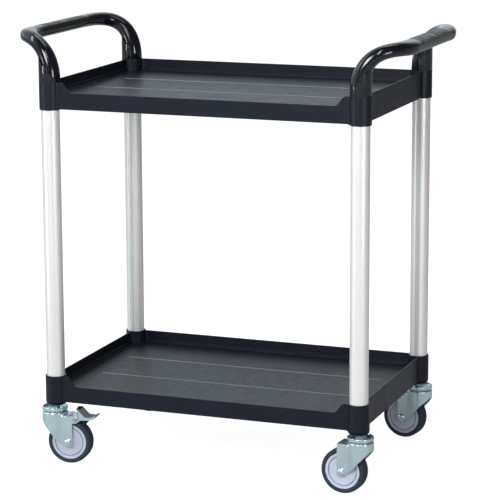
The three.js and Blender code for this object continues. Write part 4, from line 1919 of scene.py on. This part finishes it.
@dataclass
class Brake:
    """A foot brake: a steel lever with a shoe over the tyre, a plastic pedal, and their pin."""

    site: Corner
    pin_radius: float = 2.8
    lever_half: float = 16.6
    pedal_half: float = 14.6
    nub_half: float = 8.0
    shoe_gap: float = 4.9
    shoe_thickness: float = 5.5
    shoe_half: float = 12.0

    def side_outline(self, start: Sequence[Flat]) -> list[Flat]:
        """The side of the pedal and of the flanges beside it: ridge, slope, valley and lip.

        Args:
            start: The first points, on the pivot's side, from the pivot.

        Returns:
            The whole outline, about the swivel axis.
        """
        x, z = self.site.pivot
        around = [
            *start,
            (18, -1.5),
            *bezier([(26, -1.4), (38, -0.4), (43, 5)], 8),
            *bezier([(42.6, 7.6), (41.5, 8), (40, 7.2)], 3),
            *bezier([(34, 4.6), (27, 4.0), (21, 5)], 6),
            *bezier([(17, 8.5), (14.5, 11), (12, 13.5)], 3),
            *bezier([(7.5, 17.8), (5, 21.4), (1, 20.2)], 6),
        ]
        return [(x + across_x, z + up) for across_x, up in around]

    def lever(self) -> Piece:
        """The lever's cheeks, the flanges beside the pedal, and the shoe.

        Returns:
            The lever, in place.
        """
        x, z = self.site.pivot
        cheek = [
            (x - 5, z - 2),
            *bezier([(x - 4.5, z - 4.5), (x - 2, z - 6), (x + 5, z - 6)], 4),
            (x + 13, z - 1),
            (x + 13, z + 1),
            *bezier([(x + 4, z + 14), (x + 1, z + 17.5), (x - 4.5, z + 13)], 6),
        ]
        half = self.lever_half
        lever = across(f"{self.site.named('brake_lever')}_pressing", cheek, -half, half)
        wheel = (self.site.trail, self.site.axle_height)
        inner = self.site.axle_height + self.shoe_gap
        shoe = [*arc(wheel, inner, 48, 67, 8), *arc(wheel, inner + self.shoe_thickness, 67, 48, 8)]
        shoe_piece = across("shoe", shoe, -self.shoe_half, self.shoe_half)
        inside = self.pedal_half + GAP
        flange = self.side_outline([(-1, 16), (4, 10), (10, 1), (13, -1.5)])
        spans = ((inside, half), (-half, -inside))
        flanges = [across("flange", flange, *span) for span in spans]
        work(lever, [shoe_piece, *flanges], Cut.JOIN)
        pin = self.pin_radius + GAP
        hole = lathe("hole", [(0, -30), (pin, -30), (pin, 30), (0, 30)], 32)
        move(hole, shift(x, 0, z) @ SIDEWAYS)
        work(lever, [hole], Cut.REMOVE)
        outer = inner + self.shoe_thickness

        def on_shoe(place: Vector) -> bool:
            """True on the rubber block of the shoe."""
            out = math.hypot(place.x - wheel[0], place.z - wheel[1])
            beside = abs(place.y) < self.shoe_half + 0.1 and place.z < z - 2
            return beside and inner - 0.4 < out < outer + 0.4

        ease_edges(lever, 0.7, 2, 35)
        recolour(lever, (ZINC.material(), SHOE_RUBBER.material()), on_shoe)
        return polish(move(lever, self.site.swivel))

    def pedal(self) -> Piece:
        """The moulded pedal with its ridge, valley and lip.

        Returns:
            The pedal, in place.
        """
        outline = self.side_outline([(-1, 16.8), (4.5, 14.6), (13.6, 1.4), (13.6, -1)])
        half = self.pedal_half
        pedal = across(f"{self.site.named('brake_pedal')}_moulding", outline, -half, half)
        x, z = self.site.pivot
        crest = [(x + 0.2, z + 22.6), (x + 4.6, z + 23.4), (x + 8.4, z + 18.4), (x + 8, z + 12)]
        nub = [(x - 1, z + 17), *bezier(crest, 8)]
        work(pedal, [across("nub", nub, -self.nub_half, self.nub_half)], Cut.JOIN)
        ease_edges(pedal, 0.8, 3, 25)

        def on_nub(place: Vector) -> bool:
            """True on the dark nub at the top of the ridge."""
            return abs(place.y) < self.nub_half + 0.1 and place.z > z + 18.6 and place.x < x + 9

        recolour(pedal, (PEDAL_PLASTIC.material(), PEDAL_NUB.material()), on_nub)
        return polish(move(pedal, self.site.swivel))

    def pin(self) -> Piece:
        """The pivot pin with its two flat heads.

        Returns:
            The pin, in place.
        """
        half = [(self.pin_radius, 20.3), (4.6, 20.3), (4.6, 21.6), (4.2, 22.1), (0, 22.1)]
        profile = [(r, -y) for r, y in reversed(half)] + half
        pin = lathe(f"{self.site.named('brake_pin')}_turned", profile, 32)
        x, z = self.site.pivot
        return polish(move(pin, self.site.swivel @ shift(x, 0, z) @ SIDEWAYS))

    def dress(self) -> None:
        """Builds the brake's pieces and fixes each to what it moves with."""
        corner = self.site.name
        pedal_body = Body.PEDAL.at(corner)
        fit(self.lever(), ZINC, pedal_body, Slot.ZINC, self.site.named("brake_lever"))
        fit(self.pedal(), PEDAL_PLASTIC, pedal_body, Slot.PEDAL, self.site.named("brake_pedal"))
        fit(self.pin(), STEEL, Body.SWIVEL.at(corner), Slot.STEEL, self.site.named("brake_pin"))


# ---------------------------------------------------------------- studio


@dataclass
class Lamp:
    """A soft rectangular lamp that points at a spot.

    Attributes:
        name: Its name.
        place: Where it stands, in metres.
        aim: The spot that it points at, in metres.
        size: Its width and height in metres.
        power: Its power in watts.
        colour: Its colour.
    """

    name: str
    place: Point
    aim: Point
    size: Flat
    power: float
    colour: Colour = (1.0, 1.0, 1.0)

    def build(self) -> None:
        """Hangs the lamp."""
        data = bpy.data.lights.new(self.name, "AREA")
        data.shape, data.size, data.size_y = "RECTANGLE", *self.size
        data.energy, data.color = self.power, self.colour
        lamp = bpy.data.objects.new(self.name, data)
        bpy.context.scene.collection.objects.link(lamp)
        lamp.location = self.place
        way = Vector(self.aim) - Vector(self.place)
        lamp.rotation_euler = way.to_track_quat("-Z", "Y").to_euler()


@dataclass
class Studio:
    """The floor, the lamps, the white surroundings and the camera."""

    floor_half: float = 40.0
    focal: float = 161.6
    eye: Point = (1.6406, -4.3028, 1.3929)
    right: Point = (0.9363, 0.3511, -0.0038)
    upward: Point = (-0.0682, 0.1923, 0.9790)
    bright_side: Point = (-0.9, 0.35, 0.1)
    bright_range: Flat = (0.05, 0.62)
    levels: Flat = (0.10, 0.95)
    warm: Colour = (1.0, 0.86, 0.80)
    cool: Colour = (0.80, 0.93, 1.0)
    lamps: tuple[Lamp, ...] = (
        Lamp("key", (-0.2, -4.4, 2.3), (0, 0, 0.5), (1.6, 1.6), 125),
        Lamp("fill_right", (3.6, -2.5, 0.9), (0, 0, 0.35), (1.2, 0.9), 38, (1.0, 0.97, 0.93)),
        Lamp("top", (0.2, 0.6, 3.4), (0, 0, 0.5), (2.2, 1.4), 22),
        Lamp("strip_low_left", (-2.4, -1.9, 0.35), (-0.2, -0.2, 0.1), (0.3, 0.6), 9),
        Lamp("strip_left", (-2.2, -1.2, 2.4), (-0.3, 0, 0.85), (0.25, 1.6), 12),
        Lamp("strip_right", (1.3, -2.6, 2.6), (0.3, 0, 0.85), (0.3, 1.2), 12),
    )

    def floor(self) -> None:
        """Lays the floor."""
        far = self.floor_half / MM
        edges = [(-far, -far, 0), (far, -far, 0), (far, far, 0), (-far, far, 0)]
        sheet = shape("floor", edges, [[0, 1, 2, 3]])
        sheet.data.materials.append(FLOOR_PAPER.material())

    def surroundings(self) -> None:
        """White to the eye, but a light room to the trolley, brightest behind it on the left."""
        world = bpy.data.worlds.new("surroundings")
        bpy.context.scene.world = world
        world.use_nodes = True
        nodes, links = world.node_tree.nodes, world.node_tree.links
        nodes.clear()
        out = nodes.new("ShaderNodeOutputWorld")
        seen = nodes.new("ShaderNodeBackground")
        lit = nodes.new("ShaderNodeBackground")
        either = nodes.new("ShaderNodeMixShader")
        path = nodes.new("ShaderNodeLightPath")
        place = nodes.new("ShaderNodeTexCoord")
        facing = nodes.new("ShaderNodeVectorMath")
        facing.operation = "DOT_PRODUCT"
        facing.inputs[1].default_value = self.bright_side
        level = nodes.new("ShaderNodeMapRange")
        for socket, value in enumerate((*self.bright_range, *self.levels), 1):
            level.inputs[socket].default_value = value
        seen.inputs[0].default_value = (1, 1, 1, 1)
        tint = nodes.new("ShaderNodeMix")
        tint.data_type = "RGBA"
        tint.inputs[6].default_value = (*self.warm, 1)
        tint.inputs[7].default_value = (*self.cool, 1)
        links.new(level.outputs[0], tint.inputs[0])
        links.new(tint.outputs[2], lit.inputs[0])
        links.new(place.outputs["Generated"], facing.inputs[0])
        links.new(facing.outputs["Value"], level.inputs[0])
        links.new(level.outputs[0], lit.inputs[1])
        links.new(path.outputs["Is Camera Ray"], either.inputs[0])
        links.new(lit.outputs[0], either.inputs[1])
        links.new(seen.outputs[0], either.inputs[2])
        links.new(either.outputs[0], out.inputs[0])

    def camera(self) -> None:
        """Sets up the camera at the viewing angle."""
        data = bpy.data.cameras.new("camera")
        data.lens, data.sensor_width = self.focal, 36.0
        data.clip_start, data.clip_end = 0.05, 100.0
        camera = bpy.data.objects.new("camera", data)
        bpy.context.scene.collection.objects.link(camera)
        right, up = Vector(self.right).normalized(), Vector(self.upward).normalized()
        back = right.cross(up)
        turn = Matrix((right, up, back)).transposed().to_4x4()
        camera.matrix_world = Matrix.Translation(self.eye) @ turn
        bpy.context.scene.camera = camera

    def build(self) -> None:
        """Builds the whole studio."""
        self.floor()
        self.surroundings()
        for lamp in self.lamps:
            lamp.build()
        self.camera()
        bpy.context.scene.view_settings.view_transform = "Standard"
        log.info("studio: %d lamps", len(self.lamps))


def main() -> None:
    """Builds the trolley from its trays up, then the studio."""
    logging.basicConfig(level=logging.INFO, format="%(name)s %(message)s")
    sites = corners()
    seam = top_of("upper_shelf")
    half_x, half_y = abs(sites[0].x), abs(sites[0].y)
    Tray("upper_shelf", sites, seam, foot_round=1.6, end_mark=True).dress()
    Tray("lower_shelf", sites, top_of("lower_shelf")).dress()
    for name, side in (("right_handle", 1), ("left_handle", -1)):
        Handle(name, side, half_x, half_y, seam).dress()
    socket_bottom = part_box("lower_shelf")[0].z / MM
    for site in sites:
        Post(site).dress()
        PostScrew(site, seam).dress()
        Caster(site, socket_bottom).dress()
        if site.pivot:
            Brake(site).dress()
    Studio().build()


if __name__ == "__main__":
    main()
